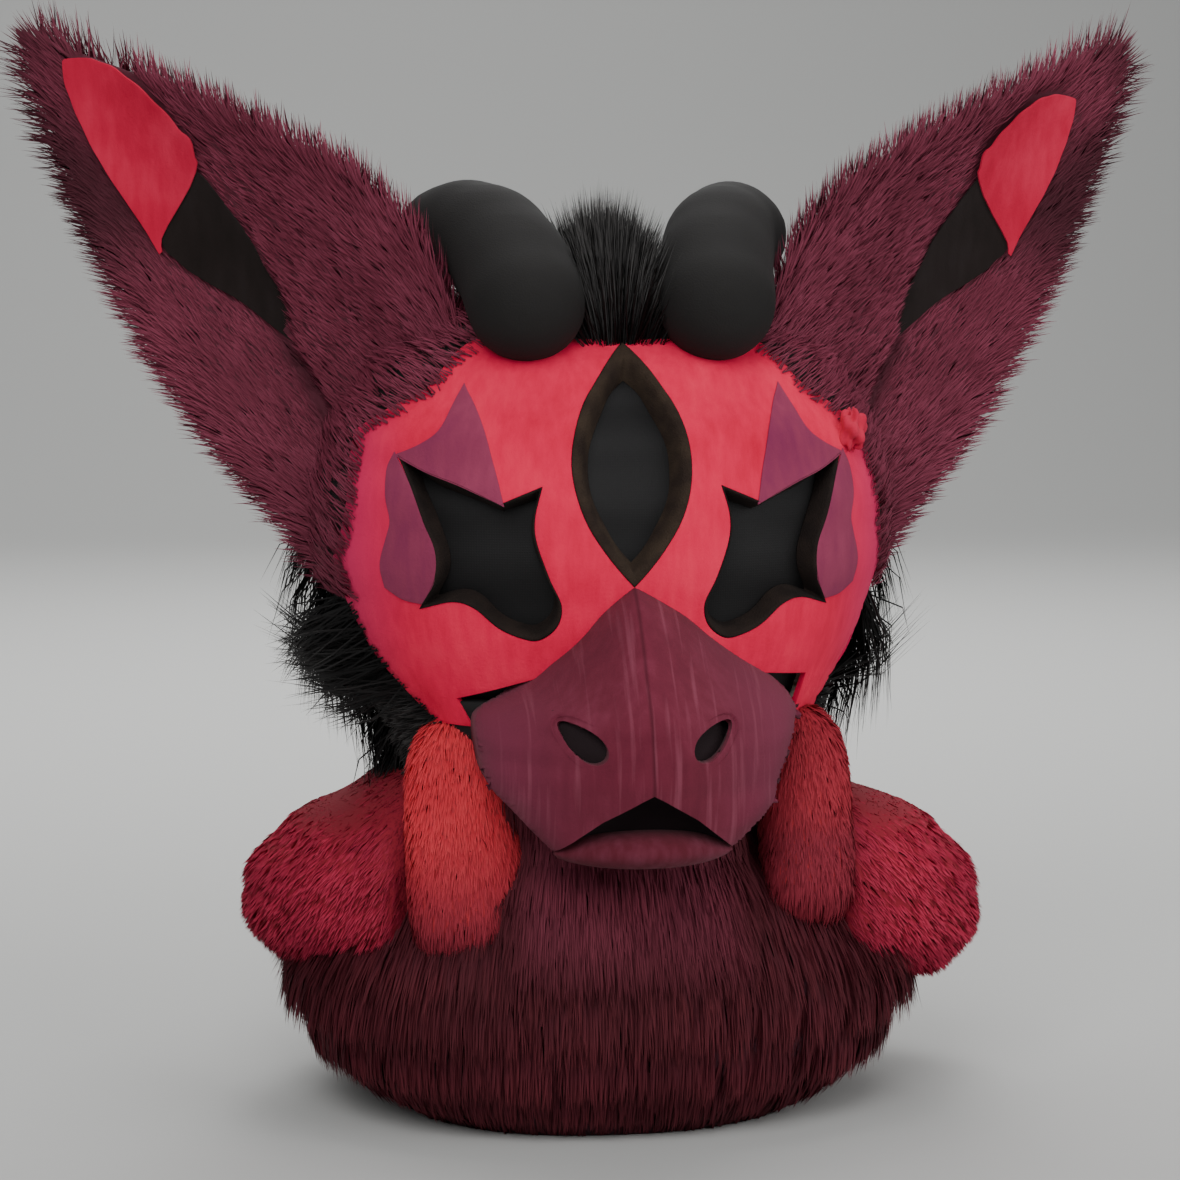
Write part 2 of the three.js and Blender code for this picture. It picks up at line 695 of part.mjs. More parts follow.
// Rims and dark mesh of the eyes, the brow eye and the cheek slots
const rimLayer = head.solid(RIM_STANDS_PROUD).subtract(head.solid(GAP - EYE_RECESS));
const meshLayer = head.solid(-EYE_RECESS).subtract(head.solid(-EYE_RECESS - MESH_WALL));
const ringOf = (edge, width) => through(inset(edge, GAP)).subtract(through(shrunk(edge, width)));
pair("eye_rim", mainBody(rimLayer.intersect(ringOf(eyeEdge, EYE_RIM_WIDTH))), 0x2a1a18);
pair("eye_mesh", mainBody(meshLayer.intersect(through(inset(eyeEdge, GAP)))), 0x222120);
const browRing = rimLayer.intersect(ringOf(browEdge, BROW_RIM_WIDTH)).subtract(muzzleBlock(2 * GAP));
piece("brow_rim", mainBody(browRing), 0x2e2a20);
const browFloor = head.solid(-EYE_RECESS).subtract(head.solid(GAP - EYE_RECESS - MESH_WALL));
piece("brow_mesh", mainBody(browFloor.intersect(through(inset(browEdge, GAP)))), 0x242426);
const slotFloor = head.solid(GAP + MESH_WALL - SLOT_RECESS).subtract(head.solid(GAP - SLOT_RECESS));
const slotMesh = slotFloor.intersect(through(inset(slotEdge, GAP)).subtract(muzzleBlock(2 * GAP)));
pair("cheek_slot_mesh", mainBody(slotMesh), 0x1c1412);

// Muzzle: a hollow padded shell with nostrils and an arched mouth
const muzzleShell = muzzleBlock(0)
  .subtract(muzzleBlock(-MUZZLE_WALL, MUZZLE_WALL * 2, 3))
  .subtract(head.solid(GAP))
  .subtract(through(nostril))
  .subtract(through(flipped(nostril)))
  .subtract(through(mouthOutline(0, 0)));
piece("muzzle_cover", mainBody(muzzleShell), 0x743046);

// Lower jaw, a soft tongue-shaped pad under the mouth
const jawTop = MOUTH_CORNER_Z + JAW_OVERLAP;
function jawBlock(grow) {
  return loft(JAW_ROWS.map((row) => {
    const half = row.width * JAW_HALF_WIDTH - GAP + grow;
    const z = jawTop - row.down * JAW_HEIGHT + grow * (1 - 2 * row.down);
    const spots = [];
    for (let i = -4; i <= 4; i += 1) {
      const across = i / 4;
      const reach = JAW_REACH * row.reach * (1 - 0.13 * Math.abs(across) ** 2.2) + grow;
      spots.push(new THREE.Vector3(across * half, -reach, z + 3 * across ** 2));
    }
    return [...spots, new THREE.Vector3(half, 0, z), new THREE.Vector3(-half, 0, z)];
  }));
}
const jaw = jawBlock(0).subtract(head.solid(GAP));
const jawClear = muzzleShell.translate(0, 0, -GAP * 2).add(muzzleShell);
piece("lower_jaw", mainBody(jaw.subtract(jawClear)), 0x7a3550);

// Dark lining that closes the mouth behind the lips
const liningY = -(MUZZLE_REACH - MUZZLE_WALL - MOUTH_LINING_SETBACK);
const liningEdge = mouthOutline(jawTop + JAW_OVERLAP, MOUTH_LINING_MARGIN);
const liningSheet = muzzleBlock(-MUZZLE_WALL - GAP).intersect(through(liningEdge, liningY, liningY + MESH_WALL));
piece("mouth_lining", mainBody(liningSheet), 0x1a0d10);

// Ears: a cupped leaf, whose crown-side flap stands over the outer half, edged with fur locks
const earAxis = new THREE.Vector3(
  EAR_LEAN_OUT, EAR_LEAN_BACK, Math.sqrt(1 - EAR_LEAN_OUT ** 2 - EAR_LEAN_BACK ** 2));
const earFlat = new THREE.Vector3(0, 1, 0).cross(earAxis).normalize().negate();
const earFace = new THREE.Vector3().crossVectors(earFlat, earAxis).normalize();
if (earFace.y > 0) earFace.negate();
const earAcross = earFlat
  .clone()
  .multiplyScalar(Math.cos(EAR_TURN_OUT))
  .addScaledVector(earFace, Math.sin(EAR_TURN_OUT));
const earNormal = earFace
  .clone()
  .multiplyScalar(Math.cos(EAR_TURN_OUT))
  .addScaledVector(earFlat, -Math.sin(EAR_TURN_OUT));
const earBase = headSpot(EAR_BASE);
const medialAt = column(EAR_ROWS, "along", "medial");
const lateralAt = column(EAR_ROWS, "along", "lateral");

// A spot on the ear: along it, a distance across it, and a depth in front of its middle sheet
function earSpot(along, across, deep) {
  const reach = across > 0 ? medialAt(along) * EAR_MEDIAL_WIDTH : lateralAt(along) * EAR_LATERAL_WIDTH;
  const share = THREE.MathUtils.clamp(across / Math.max(reach, 1), -1, 1);
  const cup = EAR_CUP * (1 - share ** 2) * Math.sin(Math.PI * THREE.MathUtils.clamp(along + 0.12, 0, 1) ** 0.8);
  const rise = THREE.MathUtils.smoothstep(across, 0, 16) * (1 - THREE.MathUtils.smoothstep(share, 0.6, 1));
  const flap = EAR_FLAP * rise * (1 - THREE.MathUtils.smoothstep(along, 0.3, 0.55)) * (deep > 0 ? 1 : 0);
  return earBase
    .clone()
    .addScaledVector(earAxis, along * EAR_LENGTH)
    .addScaledVector(earAcross, across)
    .addScaledVector(earNormal, deep + flap - cup);
}

const EAR_COLUMNS = [-1, -0.6, -0.2, 0.02, 0.2, 0.6, 1];

function earSlab(front) {
  const rows = EAR_ROWS.map((row) => EAR_COLUMNS.map((share) => {
    const width = share > 0 ? row.medial * EAR_MEDIAL_WIDTH : row.lateral * EAR_LATERAL_WIDTH;
    const half = (EAR_WALL / 2) * Math.sqrt(1 - 0.75 * share ** 2) * Math.min(1, 0.25 + row.medial);
    return { along: row.along, across: share * width, half };
  }));
  return slab(
    rows.map((row) => row.map((p) => earSpot(p.along, p.across, p.half + front))),
    rows.map((row) => row.map((p) => earSpot(p.along, p.across, -p.half))),
  );
}

// Locks along both edges of the ear lie in its own plane and sweep towards its tip
function earLocks() {
  const locks = [];
  for (let i = 0; i < EAR_LOCK_COUNT; i += 1) {
    const along = 0.08 + (0.78 * i) / (EAR_LOCK_COUNT - 1);
    for (const side of [-1, 1]) {
      const reach = side > 0 ? medialAt(along) * EAR_MEDIAL_WIDTH : lateralAt(along) * EAR_LATERAL_WIDTH;
      const sweep = earAxis.clone().addScaledVector(earAcross, side * 0.75).normalize();
      const root = earSpot(along, side * (reach - EAR_LOCK_LENGTH * 0.3), 0);
      locks.push(lock(root, earNormal, sweep, EAR_LOCK_LENGTH, EAR_LOCK_LENGTH * 1.3, -0.2));
    }
  }
  locks.push(lock(earSpot(0.9, 0, 0), earNormal, earAxis, EAR_LOCK_LENGTH * 1.2, EAR_LOCK_LENGTH * 0.7, -0.2));
  return locks;
}

const earSeat = head.solid(BACKING_WALL + 2 * GAP);
const ear = mainBody(fused(earSlab(0), earLocks()).subtract(earSeat));
pair("ear", ear, 0x66283e);
const earClear = earSlab(GAP);

function earPatch(rows) {
  const edge = (row, share) => THREE.MathUtils.lerp(row.low, row.high, share) * EAR_MEDIAL_WIDTH;
  const shares = [0, 0.5, 1];
  const sheet = (deep) => rows.map((row) => shares.map((share) => earSpot(row.along, edge(row, share), deep)));
  return mainBody(slab(sheet(EAR_WALL / 2 + GAP + PATCH_WALL), sheet(-1)).subtract(earClear));
}

pair("ear_tip_patch", earPatch(TIP_PATCH), 0xd0283f);
pair("ear_black_patch", earPatch(BLACK_PATCH), 0x1c1a1a);

// Horns: stuffed tubes that lie over the forehead and the crown
const hornCurve = new THREE.CatmullRomCurve3(HORN_PATH.map(headSpot));
const hornRings = HORN_PATH.map((row, i) => {
  const share = i / (HORN_PATH.length - 1);
  const along = hornCurve.getTangent(share);
  const side = new THREE.Vector3(0, 0, 1).cross(along).normalize();
  const top = along.clone().cross(side);
  return Array.from({ length: HORN_SIDES }, (_, k) => {
    const turn = (k / HORN_SIDES) * 2 * Math.PI;
    return headSpot(row)
      .addScaledVector(side, Math.cos(turn) * HORN_RADIUS * row.radius)
      .addScaledVector(top, Math.sin(turn) * HORN_RADIUS * row.radius);
  });
});
const hornRaw = loft(hornRings);
const nudges = [[0, 0, 0], [-GAP, 0, 0], [0, -GAP, 0], [0, 0, GAP]];
const earRoom = nudges.reduce((sum, nudge) => sum.add(ear.translate(nudge)), earSlab(2 * GAP));
const horn = mainBody(hornRaw.subtract(earSeat).subtract(earRoom));
pair("horn", horn, 0x1c1b1a, 0.8);

// Hood of black fur over the sides, back and crown, with long locks on the cheeks
const hoodLayer = head.solid(GAP + BACKING_WALL).subtract(head.solid(GAP));
const CHIN_HALF_WIDTH = MUZZLE_HALF_WIDTH + GAP;
const chinClear = [
  new THREE.Vector2(-CHIN_HALF_WIDTH, 0),
  new THREE.Vector2(CHIN_HALF_WIDTH, 0),
  new THREE.Vector2(CHIN_HALF_WIDTH, FACE_LOW_Z + GAP),
  new THREE.Vector2(-CHIN_HALF_WIDTH, FACE_LOW_Z + GAP),
];
const belowHood = NECK_HEIGHT + 2 * GAP;
const underHood = new THREE.BoxGeometry(FAR * 2, FAR * 2, belowHood).translate(0, 0, belowHood / 2);
const hoodBody = mainBody(hoodLayer
  .subtract(through(inset(faceEdge, -GAP)))
  .subtract(through(chinClear))
  .subtract(slotHoles)
  .subtract(solidFrom(underHood)));
const hoodLocks = [];
for (const row of CHEEK_LOCKS) {
  for (const side of [1, -1]) {
    const at = (turn) => (side > 0 ? turn : Math.PI - turn);
    const fall = new THREE.Vector3(side * Math.cos(0.3), -Math.sin(0.3), -1.1);
    hoodLocks.push(...lockRow(head, {
      ...row, from: at(row.from), to: at(row.to), fall, length: row.length * CHEEK_LOCK_LENGTH,
      width: CHEEK_LOCK_WIDTH, splay: 0.35, lift: BACKING_WALL,
    }));
  }
}
for (const row of BACK_LOCKS) {
  hoodLocks.push(...lockRow(head, {
    ...row, from: BACK_LOCK_TURN, to: Math.PI - BACK_LOCK_TURN, fall: DOWN,
    length: BACK_LOCK_LENGTH, width: BACK_LOCK_WIDTH, lift: BACKING_WALL,
  }));
}
const overCover = head.solid(2 * GAP + COVER_WALL).intersect(through(inset(faceEdge, -GAP)));
const hood = fused(hoodBody, hoodLocks).subtract(head.solid(GAP)).subtract(overCover);
piece("hood_fur", mainBody(hood), 0x1c1a1a);

// Hair tuft: a ridge of long black locks between the horns
const hairLocks = HAIR_ROWS.flatMap((row) => Array.from({ length: row.count }, (_, i) => {
  const across = (i / (row.count - 1)) * 2 - 1;
  const root = headSpot({ ...row, across: 0 }).setX((across * HAIR_HALF_WIDTH) / 2);
  const fall = new THREE.Vector3(across * 0.28, row.lean, 1).normalize();
  return lock(root, new THREE.Vector3(0, -1, 0), fall, HAIR_HEIGHT, HAIR_HALF_WIDTH * 1.1, 0);
}));
const hairPad = loft(HAIR_PAD.map((row) => {
  const half = row.half * HAIR_HALF_WIDTH;
  const [low, high] = [-2 / 3, 1 / 3].map((share) => share * HAIR_PAD_HEIGHT);
  const corners = [[-half, low], [half, low], [half * 0.8, high], [-half * 0.8, high]];
  return corners.map(([x, z]) => headSpot({ ...row, across: 0 }).add(new THREE.Vector3(x, 0, z)));
}));
const bothHorns = horn.translate(-2 * GAP, 0, 0).add(mirrored(horn.translate(-2 * GAP, 0, 0)));
const hair = fused(hairPad, hairLocks).subtract(earSeat).subtract(bothHorns).subtract(browHole);
piece("hair_tuft", mainBody(hair), 0x1c1a1a);

// Neck fur: a flared hollow skirt that carries the head and rests on the ground
const SKIRT_ROW_COUNT = 8;
const skirtOuter = neck.solid(0, { rows: SKIRT_ROW_COUNT });
const skirtInner = neck.solid(-NECK_WALL, { rows: SKIRT_ROW_COUNT, overrun: FOAM_WALL });
const skirtHollow = skirtInner.add(head.solid(GAP));
const faceRoom = jawBlock(GAP).add(muzzleBlock(GAP));
const skirtLocks = SKIRT_LOCKS.flatMap((row) => lockRow(neck, {
  ...row, fall: DOWN, length: row.length * SKIRT_LOCK_LENGTH, width: SKIRT_LOCK_WIDTH,
}));
const aboveGround = new THREE.BoxGeometry(FAR * 2, FAR * 2, FAR).translate(0, 0, FAR / 2);
const skirt = fused(skirtOuter, skirtLocks)
  .subtract(skirtHollow)
  .subtract(faceRoom)
  .intersect(solidFrom(aboveGround));
piece("chest_fur", mainBody(skirt), 0x4a1626);

// Throat fur, neck stripes and shoulder lobes lie over the skirt
const collar = neck.solid(2 * GAP);
const throatTop = neck.spots.at(-1)[0].z;
const throatSpot = (row) => new THREE.Vector2(
  row.across * (THROAT_HALF_WIDTH - GAP), THREE.MathUtils.lerp(THROAT_HEM_Z, throatTop, row.level));
const throatHalf = THROAT_EDGE.map(throatSpot);
const throatEdge = [...throatHalf, ...flipped(throatHalf)];
const throatBody = neck.solid(2 * GAP + THROAT_WALL).subtract(collar).intersect(through(throatEdge));
const throatLocks = lockRow(neck, {
  from: FRONT - 0.3, to: FRONT + 0.3, count: 4, up: THROAT_HEM_Z / NECK_HEIGHT + 0.1,
  length: THROAT_LOCK_LENGTH, fall: DOWN, width: LOCK_WIDTH, lift: THROAT_WALL,
});
const skirtClear = skirt.translate(0, -2 * GAP, 0).add(skirt);
const throat = fused(throatBody, throatLocks)
  .subtract(collar)
  .subtract(skirtClear)
  .subtract(faceRoom);
piece("throat_fur", mainBody(throat), 0x5c2636);

const stripeTop = throatTop - GAP;
const stripeEdge = [
  new THREE.Vector2(THROAT_HALF_WIDTH, THROAT_HEM_Z - 4),
  new THREE.Vector2(THROAT_HALF_WIDTH + STRIPE_WIDTH, THROAT_HEM_Z),
  new THREE.Vector2(THROAT_HALF_WIDTH + STRIPE_WIDTH * 0.85, stripeTop - 6),
  new THREE.Vector2(THROAT_HALF_WIDTH + STRIPE_WIDTH * 0.1, stripeTop),
];
const stripeLayer = neck.solid(2 * GAP + STRIPE_WALL)
  .subtract(collar)
  .subtract(skirtClear)
  .subtract(faceRoom)
  .subtract(throat.translate(GAP, 0, 0).add(throat.translate(-GAP, 0, 0)));
pair("neck_stripe", mainBody(stripeLayer.intersect(through(stripeEdge, -FAR, -30))), 0xc8353a);

const SHOULDER_STEPS = 7;
const shoulderRings = SHOULDER_ROWS.map((row) => Array.from({ length: SHOULDER_STEPS + 1 }, (_, i) => {
  const turn = (i / SHOULDER_STEPS - 0.5) * Math.PI;
  const reach = row.width * SHOULDER_HALF_WIDTH - SHOULDER_ROOT_X;
  return new THREE.Vector3(
    SHOULDER_ROOT_X + reach * Math.cos(turn),
    row.depth * SHOULDER_HALF_DEPTH * Math.sin(turn),
    SHOULDER_HEM_Z + row.up * SHOULDER_HEIGHT,
  );
}));
const collarOver = neck.solid(3 * GAP + STRIPE_WALL);
const lobe = loft(shoulderRings).subtract(collarOver).subtract(skirtClear);
pair("shoulder_fur", mainBody(lobe), 0xb02238);

// The origin is the middle of the ground under the whole head
const extent = new THREE.Box3().setFromObject(pieces);
const middle = extent.getCenter(new THREE.Vector3());
pieces.position.set(-middle.x, -middle.y, -extent.min.z);

export default pieces;
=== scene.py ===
"""The horned fursuit head dressed in foam, fleece, mesh and faux fur.

Meshes are worked out in millimetres about the head's own middle and placed in metres by put().
"left" is the side at -X, which a person facing the head sees on their left.
"""
import math

import bmesh
import bpy
import numpy as np
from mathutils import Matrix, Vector


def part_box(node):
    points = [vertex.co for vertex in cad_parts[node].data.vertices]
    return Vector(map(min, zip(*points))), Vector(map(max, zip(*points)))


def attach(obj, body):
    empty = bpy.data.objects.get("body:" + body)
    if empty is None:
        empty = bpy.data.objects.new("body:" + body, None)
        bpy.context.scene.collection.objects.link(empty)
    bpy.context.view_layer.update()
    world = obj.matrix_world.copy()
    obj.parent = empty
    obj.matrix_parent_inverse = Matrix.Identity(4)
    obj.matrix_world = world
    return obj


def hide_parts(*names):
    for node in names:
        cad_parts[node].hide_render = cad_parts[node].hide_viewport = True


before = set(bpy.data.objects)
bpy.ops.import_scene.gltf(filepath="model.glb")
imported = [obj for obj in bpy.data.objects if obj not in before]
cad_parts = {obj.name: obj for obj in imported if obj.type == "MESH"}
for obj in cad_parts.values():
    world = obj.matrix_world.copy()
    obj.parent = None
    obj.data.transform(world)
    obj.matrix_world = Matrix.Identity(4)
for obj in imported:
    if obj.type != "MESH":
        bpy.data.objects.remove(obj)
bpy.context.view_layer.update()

MM = 0.001

# Foam head and neck fur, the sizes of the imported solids
HEAD = {"width": 143, "front": 117, "back": 146, "low": 128, "height": 294}
NECK = {"width": 157, "front": 122, "back": 126, "low": 0, "height": 150}
ROUNDNESS = 2.3
FOAM_WALL = 14
COVER_WALL = 3
BACKING_WALL = 4
HOOD_UNDER = 2.4

# Face, eyes and brow
FACE_HALF_WIDTH = 136
FACE_HEIGHT = 186
FACE_LOW = 210
EYE_X = 70.5
EYE_Z = 296
EYE_WIDTH = 71
EYE_HEIGHT = 88
EYE_RIM = 4
EYE_RECESS = 9
BROW_Z = 335
BROW_HALF_WIDTH = 29
BROW_HALF_HEIGHT = 57
BROW_RIM = 8.5
SLOT_RECESS = 5

# Muzzle and lower jaw
MUZZLE_TOP = 282
MUZZLE_HEIGHT = 126
MUZZLE_HALF_WIDTH = 80
MUZZLE_REACH = 182
MUZZLE_ROUND = 11
NOSTRIL_X = 31
NOSTRIL_Z = 210
NOSTRIL_DEPTH = 14
MUZZLE_SIDE_DEPTH = 60
MOUTH_HALF_WIDTH = 43
MOUTH_CORNER_Z = 165
MOUTH_RISE = 22
JAW_REACH = 172
LIP_CORNER_Z = 155
LIP_HEIGHT = 18
LINING_Y = -151

# Ears
EAR_LENGTH = 300
EAR_LEAN_OUT = 0.645
EAR_LEAN_BACK = 0.23
EAR_TURN_OUT = 0.36
EAR_MEDIAL_WIDTH = 80
EAR_LATERAL_WIDTH = 70
EAR_WALL = 14
EAR_CUP = 26
EAR_FLAP = 9
TIP_PATCH_SHARE = {"right": 0.8, "left": 1.0}

# Horns, hair and the neck's red pieces
HORN_RADIUS = 28
HAIR_HEIGHT = 62
HAIR_HALF_WIDTH = 22
SHOULDER_HALF_WIDTH = 184
SHOULDER_HALF_DEPTH = 97
SHOULDER_HEM = 74
SHOULDER_HEIGHT = 92
SHOULDER_ROOT_X = 62
SHOULDER_SOFTNESS = 2.9
SHOULDER_SPREAD = {"right": 1.09, "left": 1.0}
SHOULDER_DROP = {"right": 11, "left": 0}
SHOULDER_HANG = {"right": 15, "left": 8}
SHOULDER_LAY = (0.55, -0.2, -0.8)
THROAT_HALF_WIDTH = 60
THROAT_HEM = 96
THROAT_HEIGHT = 84
STRIPE_X = {"right": 93, "left": 79}
STRIPE_WIDTH = {"right": 46, "left": 56}
STRIPE_HEM = {"right": 104, "left": 84}
STRIPE_TOP = 211
STRIPE_DEPTH = 36
STRIPE_FRONT = 111
STRIPE_BACK = 78
STRIPE_SHADE = {"right": 0.75, "left": 0.05}
KNOT_X = 112
KNOT_Z = 348
KNOT_RADIUS = 7

# Outline of the lining behind the mouth
LINING_EDGE = ((-38, 156), (38, 156), (38, 186), (20, 196), (0, 200), (-20, 196), (-38, 186))

# Fibres of each fur, their lengths in millimetres, and the short simulation of the stuffed pieces
FIBRES = {
    "ear": 39000, "ear_foot": 9000, "hair": 8000, "hood": 34000, "chest": 54000, "throat": 12500,
    "stripe": 10000, "shoulder": 19500,
}
# A fibre's share of its length, its ribbon's turn, its least height over the table, its lock's keys
LENGTH_SPREAD = (0.72, 1.12)
RIBBON_TURN = 0.55
FUR_FLOOR = 0.4
LOCK_KEYS = (73856093, 19349663, 83492791)
EAR_FUR_LENGTH = 8
EAR_EDGE_EXTRA = 12
EAR_TIP_EXTRA = 8
EAR_FOOT_LENGTH = 12
HOOD_LENGTH = 26
CHEEK_EXTRA = 40
RIGHT_CHEEK_EXTRA = 14
CLIPPED_LENGTH = 13
CHEST_LENGTH = 18
CHEST_TOP_EXTRA = 16
THROAT_LENGTH = 26
STRIPE_LENGTH = 7
STRIPE_HEM_EXTRA = 15
SHOULDER_LENGTH = 6.5
CLOTH_STEPS = 20
CLOTH_PRESSURE = 4

# The studio: lamps by name, place, aim, size and power, and the photograph's viewpoint, in metres
WALL_Y = 3.4
WALL_BEND = 2.4
FLOOR_HALF = 9.0
LAMPS = (
    ("key", (-0.6, -1.7, 1.5), (0, 0, 0.3), 1.4, 34),
    ("fill", (1.5, -1.4, 0.9), (0, 0, 0.25), 1.4, 22),
    ("top", (0.1, 0.3, 1.9), (0, 0, 0.3), 1.0, 14),
    ("wall", (0.0, 1.4, 2.6), (0, 4.4, 0.4), 2.4, 100),
    ("back", (0.4, 2.2, 1.7), (0, 0, 0.3), 1.2, 14),
)
VIEW_AZIMUTH = math.radians(-8)
VIEW_ELEVATION = math.radians(6)
VIEW_DISTANCE = 1.4
VIEW_WIDTH = 0.59
FILM_WIDTH = 36

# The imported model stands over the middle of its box, so its own middle is moved by this much
CENTRE_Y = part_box("muzzle_cover")[0].y / MM + MUZZLE_REACH

# Level, half width, reach to the front and to the back, as shares of the foam head's sizes
HEAD_ROWS = (
    (0.0, 0.626, 0.72, 0.67), (0.11, 0.667, 0.79, 0.74), (0.23, 0.72, 0.86, 0.835),
    (0.35, 0.845, 0.94, 0.92), (0.47, 0.952, 0.99, 0.975), (0.59, 1.0, 1.0, 1.0),
    (0.7, 0.973, 0.945, 0.985), (0.81, 0.87, 0.83, 0.91), (0.9, 0.7, 0.65, 0.76),
    (0.96, 0.47, 0.43, 0.53), (1.0, 0.0, 0.0, 0.0),
)
NECK_ROWS = (
    (0.0, 0.66, 0.755, 0.745), (0.08, 0.77, 0.85, 0.84), (0.21, 0.905, 0.95, 0.935),
    (0.39, 0.98, 1.0, 1.0), (0.57, 1.0, 1.0, 1.0), (0.73, 0.91, 0.92, 0.955),
    (0.88, 0.755, 0.835, 0.9), (1.0, 0.652, 0.78, 0.88), (1.17, 0.69, 0.84, 0.965),
    (1.3, 0.72, 0.875, 1.02),
)
# Muzzle level below its top, half width on the right and the left, reach of its middle and its side edge
MUZZLE_ROWS = (
    (0.0, 0.02, 0.02, 0.655, 0.6), (0.105, 0.32, 0.22, 0.73, 0.6), (0.225, 0.55, 0.38, 0.81, 0.59),
    (0.325, 0.74, 0.545, 0.865, 0.58), (0.44, 0.96, 0.73, 0.93, 0.58), (0.505, 1.03, 0.89, 0.965, 0.6),
    (0.56, 1.03, 0.945, 0.98, 0.63), (0.67, 0.96, 0.93, 1.0, 0.69), (0.775, 0.875, 0.885, 0.995, 0.74),
    (0.86, 0.81, 0.76, 0.98, 0.79), (0.94, 0.67, 0.64, 0.965, 0.83), (1.0, 0.545, 0.54, 0.955, 0.86),
)
# Ear level along its axis, reach to the crown's side and to the outer side
EAR_ROWS = (
    (-0.14, 0.5, 0.88), (0.0, 0.68, 1.02), (0.1, 0.8, 1.0), (0.23, 0.97, 1.0), (0.36, 1.0, 0.95),
    (0.5, 0.86, 0.83), (0.63, 0.67, 0.67), (0.76, 0.46, 0.48), (0.88, 0.25, 0.26), (0.98, 0.04, 0.05),
)
# Shoulder lobe level above its hem, its reach to the side and its depth
SHOULDER_ROWS = (
    (0.0, 0.93, 0.86), (0.07, 0.985, 0.95), (0.24, 1.0, 1.0), (0.46, 0.995, 1.02),
    (0.72, 0.94, 1.0), (0.92, 0.82, 0.94), (1.0, 0.68, 0.86),
)
# Ear patches: level along the ear and the two edges, in shares of the crown-side width
TIP_PATCH = (
    (0.575, -0.335, -0.31), (0.6, -0.31, -0.17), (0.62, -0.29, 0.16), (0.645, -0.27, 0.3),
    (0.69, -0.235, 0.355),
    (0.75, -0.18, 0.375), (0.81, -0.1, 0.36), (0.86, -0.01, 0.3), (0.89, 0.06, 0.22), (0.908, 0.12, 0.14),
)
BLACK_PATCH = (
    (0.315, -0.12, -0.09), (0.37, -0.155, 0.02), (0.43, -0.19, 0.08), (0.5, -0.265, 0.16),
    (0.55, -0.29, 0.19), (0.59, -0.27, 0.215), (0.625, -0.15, 0.22), (0.645, 0.0, 0.2),
)
# The crown-side flap of the ear overlaps the rest along this line: level and millimetres across
EAR_CREASE = (
    (-0.1, -36), (0.0, -31), (0.13, -22), (0.25, -13), (0.32, -7), (0.36, 1), (0.42, 6), (0.5, 13),
    (0.6, 15),
)
# Outlines on the face: two shares each, and "corner" where the outline turns sharply. The cover, the
# muzzle and the slots are cut by hand, so their left and right sides differ a little.
FACE_EDGE_RIGHT = (
    (0.24, 0.99), (0.45, 0.99), (0.56, 0.955), (0.65, 0.88), (0.81, 0.8), (0.91, 0.735), (0.955, 0.63),
    (0.985, 0.53), (1.01, 0.43, "corner"), (1.005, 0.31), (0.98, 0.2), (0.92, 0.1), (0.82, 0.02),
    (0.7, -0.03, "corner"),
)
FACE_EDGE_LEFT = (
    (0.24, 0.99), (0.45, 0.995), (0.58, 0.95), (0.69, 0.86), (0.83, 0.8), (0.93, 0.75, "corner"),
    (0.955, 0.65), (0.965, 0.57), (0.985, 0.48), (1.01, 0.41, "corner"), (0.97, 0.32), (0.92, 0.24),
    (0.84, 0.14), (0.65, -0.01, "corner"),
)
EYE_EDGE = (
    (0.53, 0.5, "corner"), (0.36, 0.41), (0.145, 0.34), (-0.115, 0.24, "corner"), (-0.22, 0.275),
    (-0.39, 0.33, "corner"), (-0.337, 0.17), (-0.348, 0.03), (-0.43, -0.157), (-0.51, -0.3),
    (-0.485, -0.42), (-0.37, -0.495), (-0.25, -0.485), (-0.1, -0.43), (0.06, -0.32), (0.2, -0.29),
    (0.4, -0.34, "corner"), (0.315, -0.17), (0.31, -0.02), (0.38, 0.14), (0.455, 0.32),
)
UPPER_MARKING = (
    (0.08, 0.87, "corner"), (-0.03, 0.6), (-0.13, 0.232, "corner"), (0.145, 0.33), (0.36, 0.4),
    (0.54, 0.49, "corner"),
    (0.38, 0.55), (0.26, 0.62), (0.17, 0.74),
)
SIDE_MARKING = (
    (0.54, 0.5, "corner"), (0.455, 0.32), (0.38, 0.14), (0.31, -0.02), (0.315, -0.17),
    (0.385, -0.3, "corner"), (0.5, -0.28), (0.61, -0.22, "corner"), (0.64, -0.1), (0.6, 0.05), (0.58, 0.14),
    (0.605, 0.26), (0.59, 0.4),
)
SLOT_RIGHT = ((0.5, 0.36, "corner"), (1.13, 0.405, "corner"), (1.06, 0.6, "corner"), (0.5, 0.46, "corner"))
SLOT_LEFT = ((0.5, 0.37, "corner"), (1.01, 0.475, "corner"), (0.9, 0.6, "corner"), (0.5, 0.46, "corner"))
MOUTH_ARCH = ((1.0, 0.0), (0.52, 0.52), (0.12, 0.9), (0.0, 1.0))
# Horn path over the forehead and crown: X, Y, Z and a share of the horn's radius
HORN_PATH = (
    (45, -103, 396, 1.02), (48, -74, 417, 1.04), (54, -43, 436, 1.03), (63, -14, 446, 1.0),
    (75, 14, 448, 0.93), (90, 43, 443, 0.8),
)


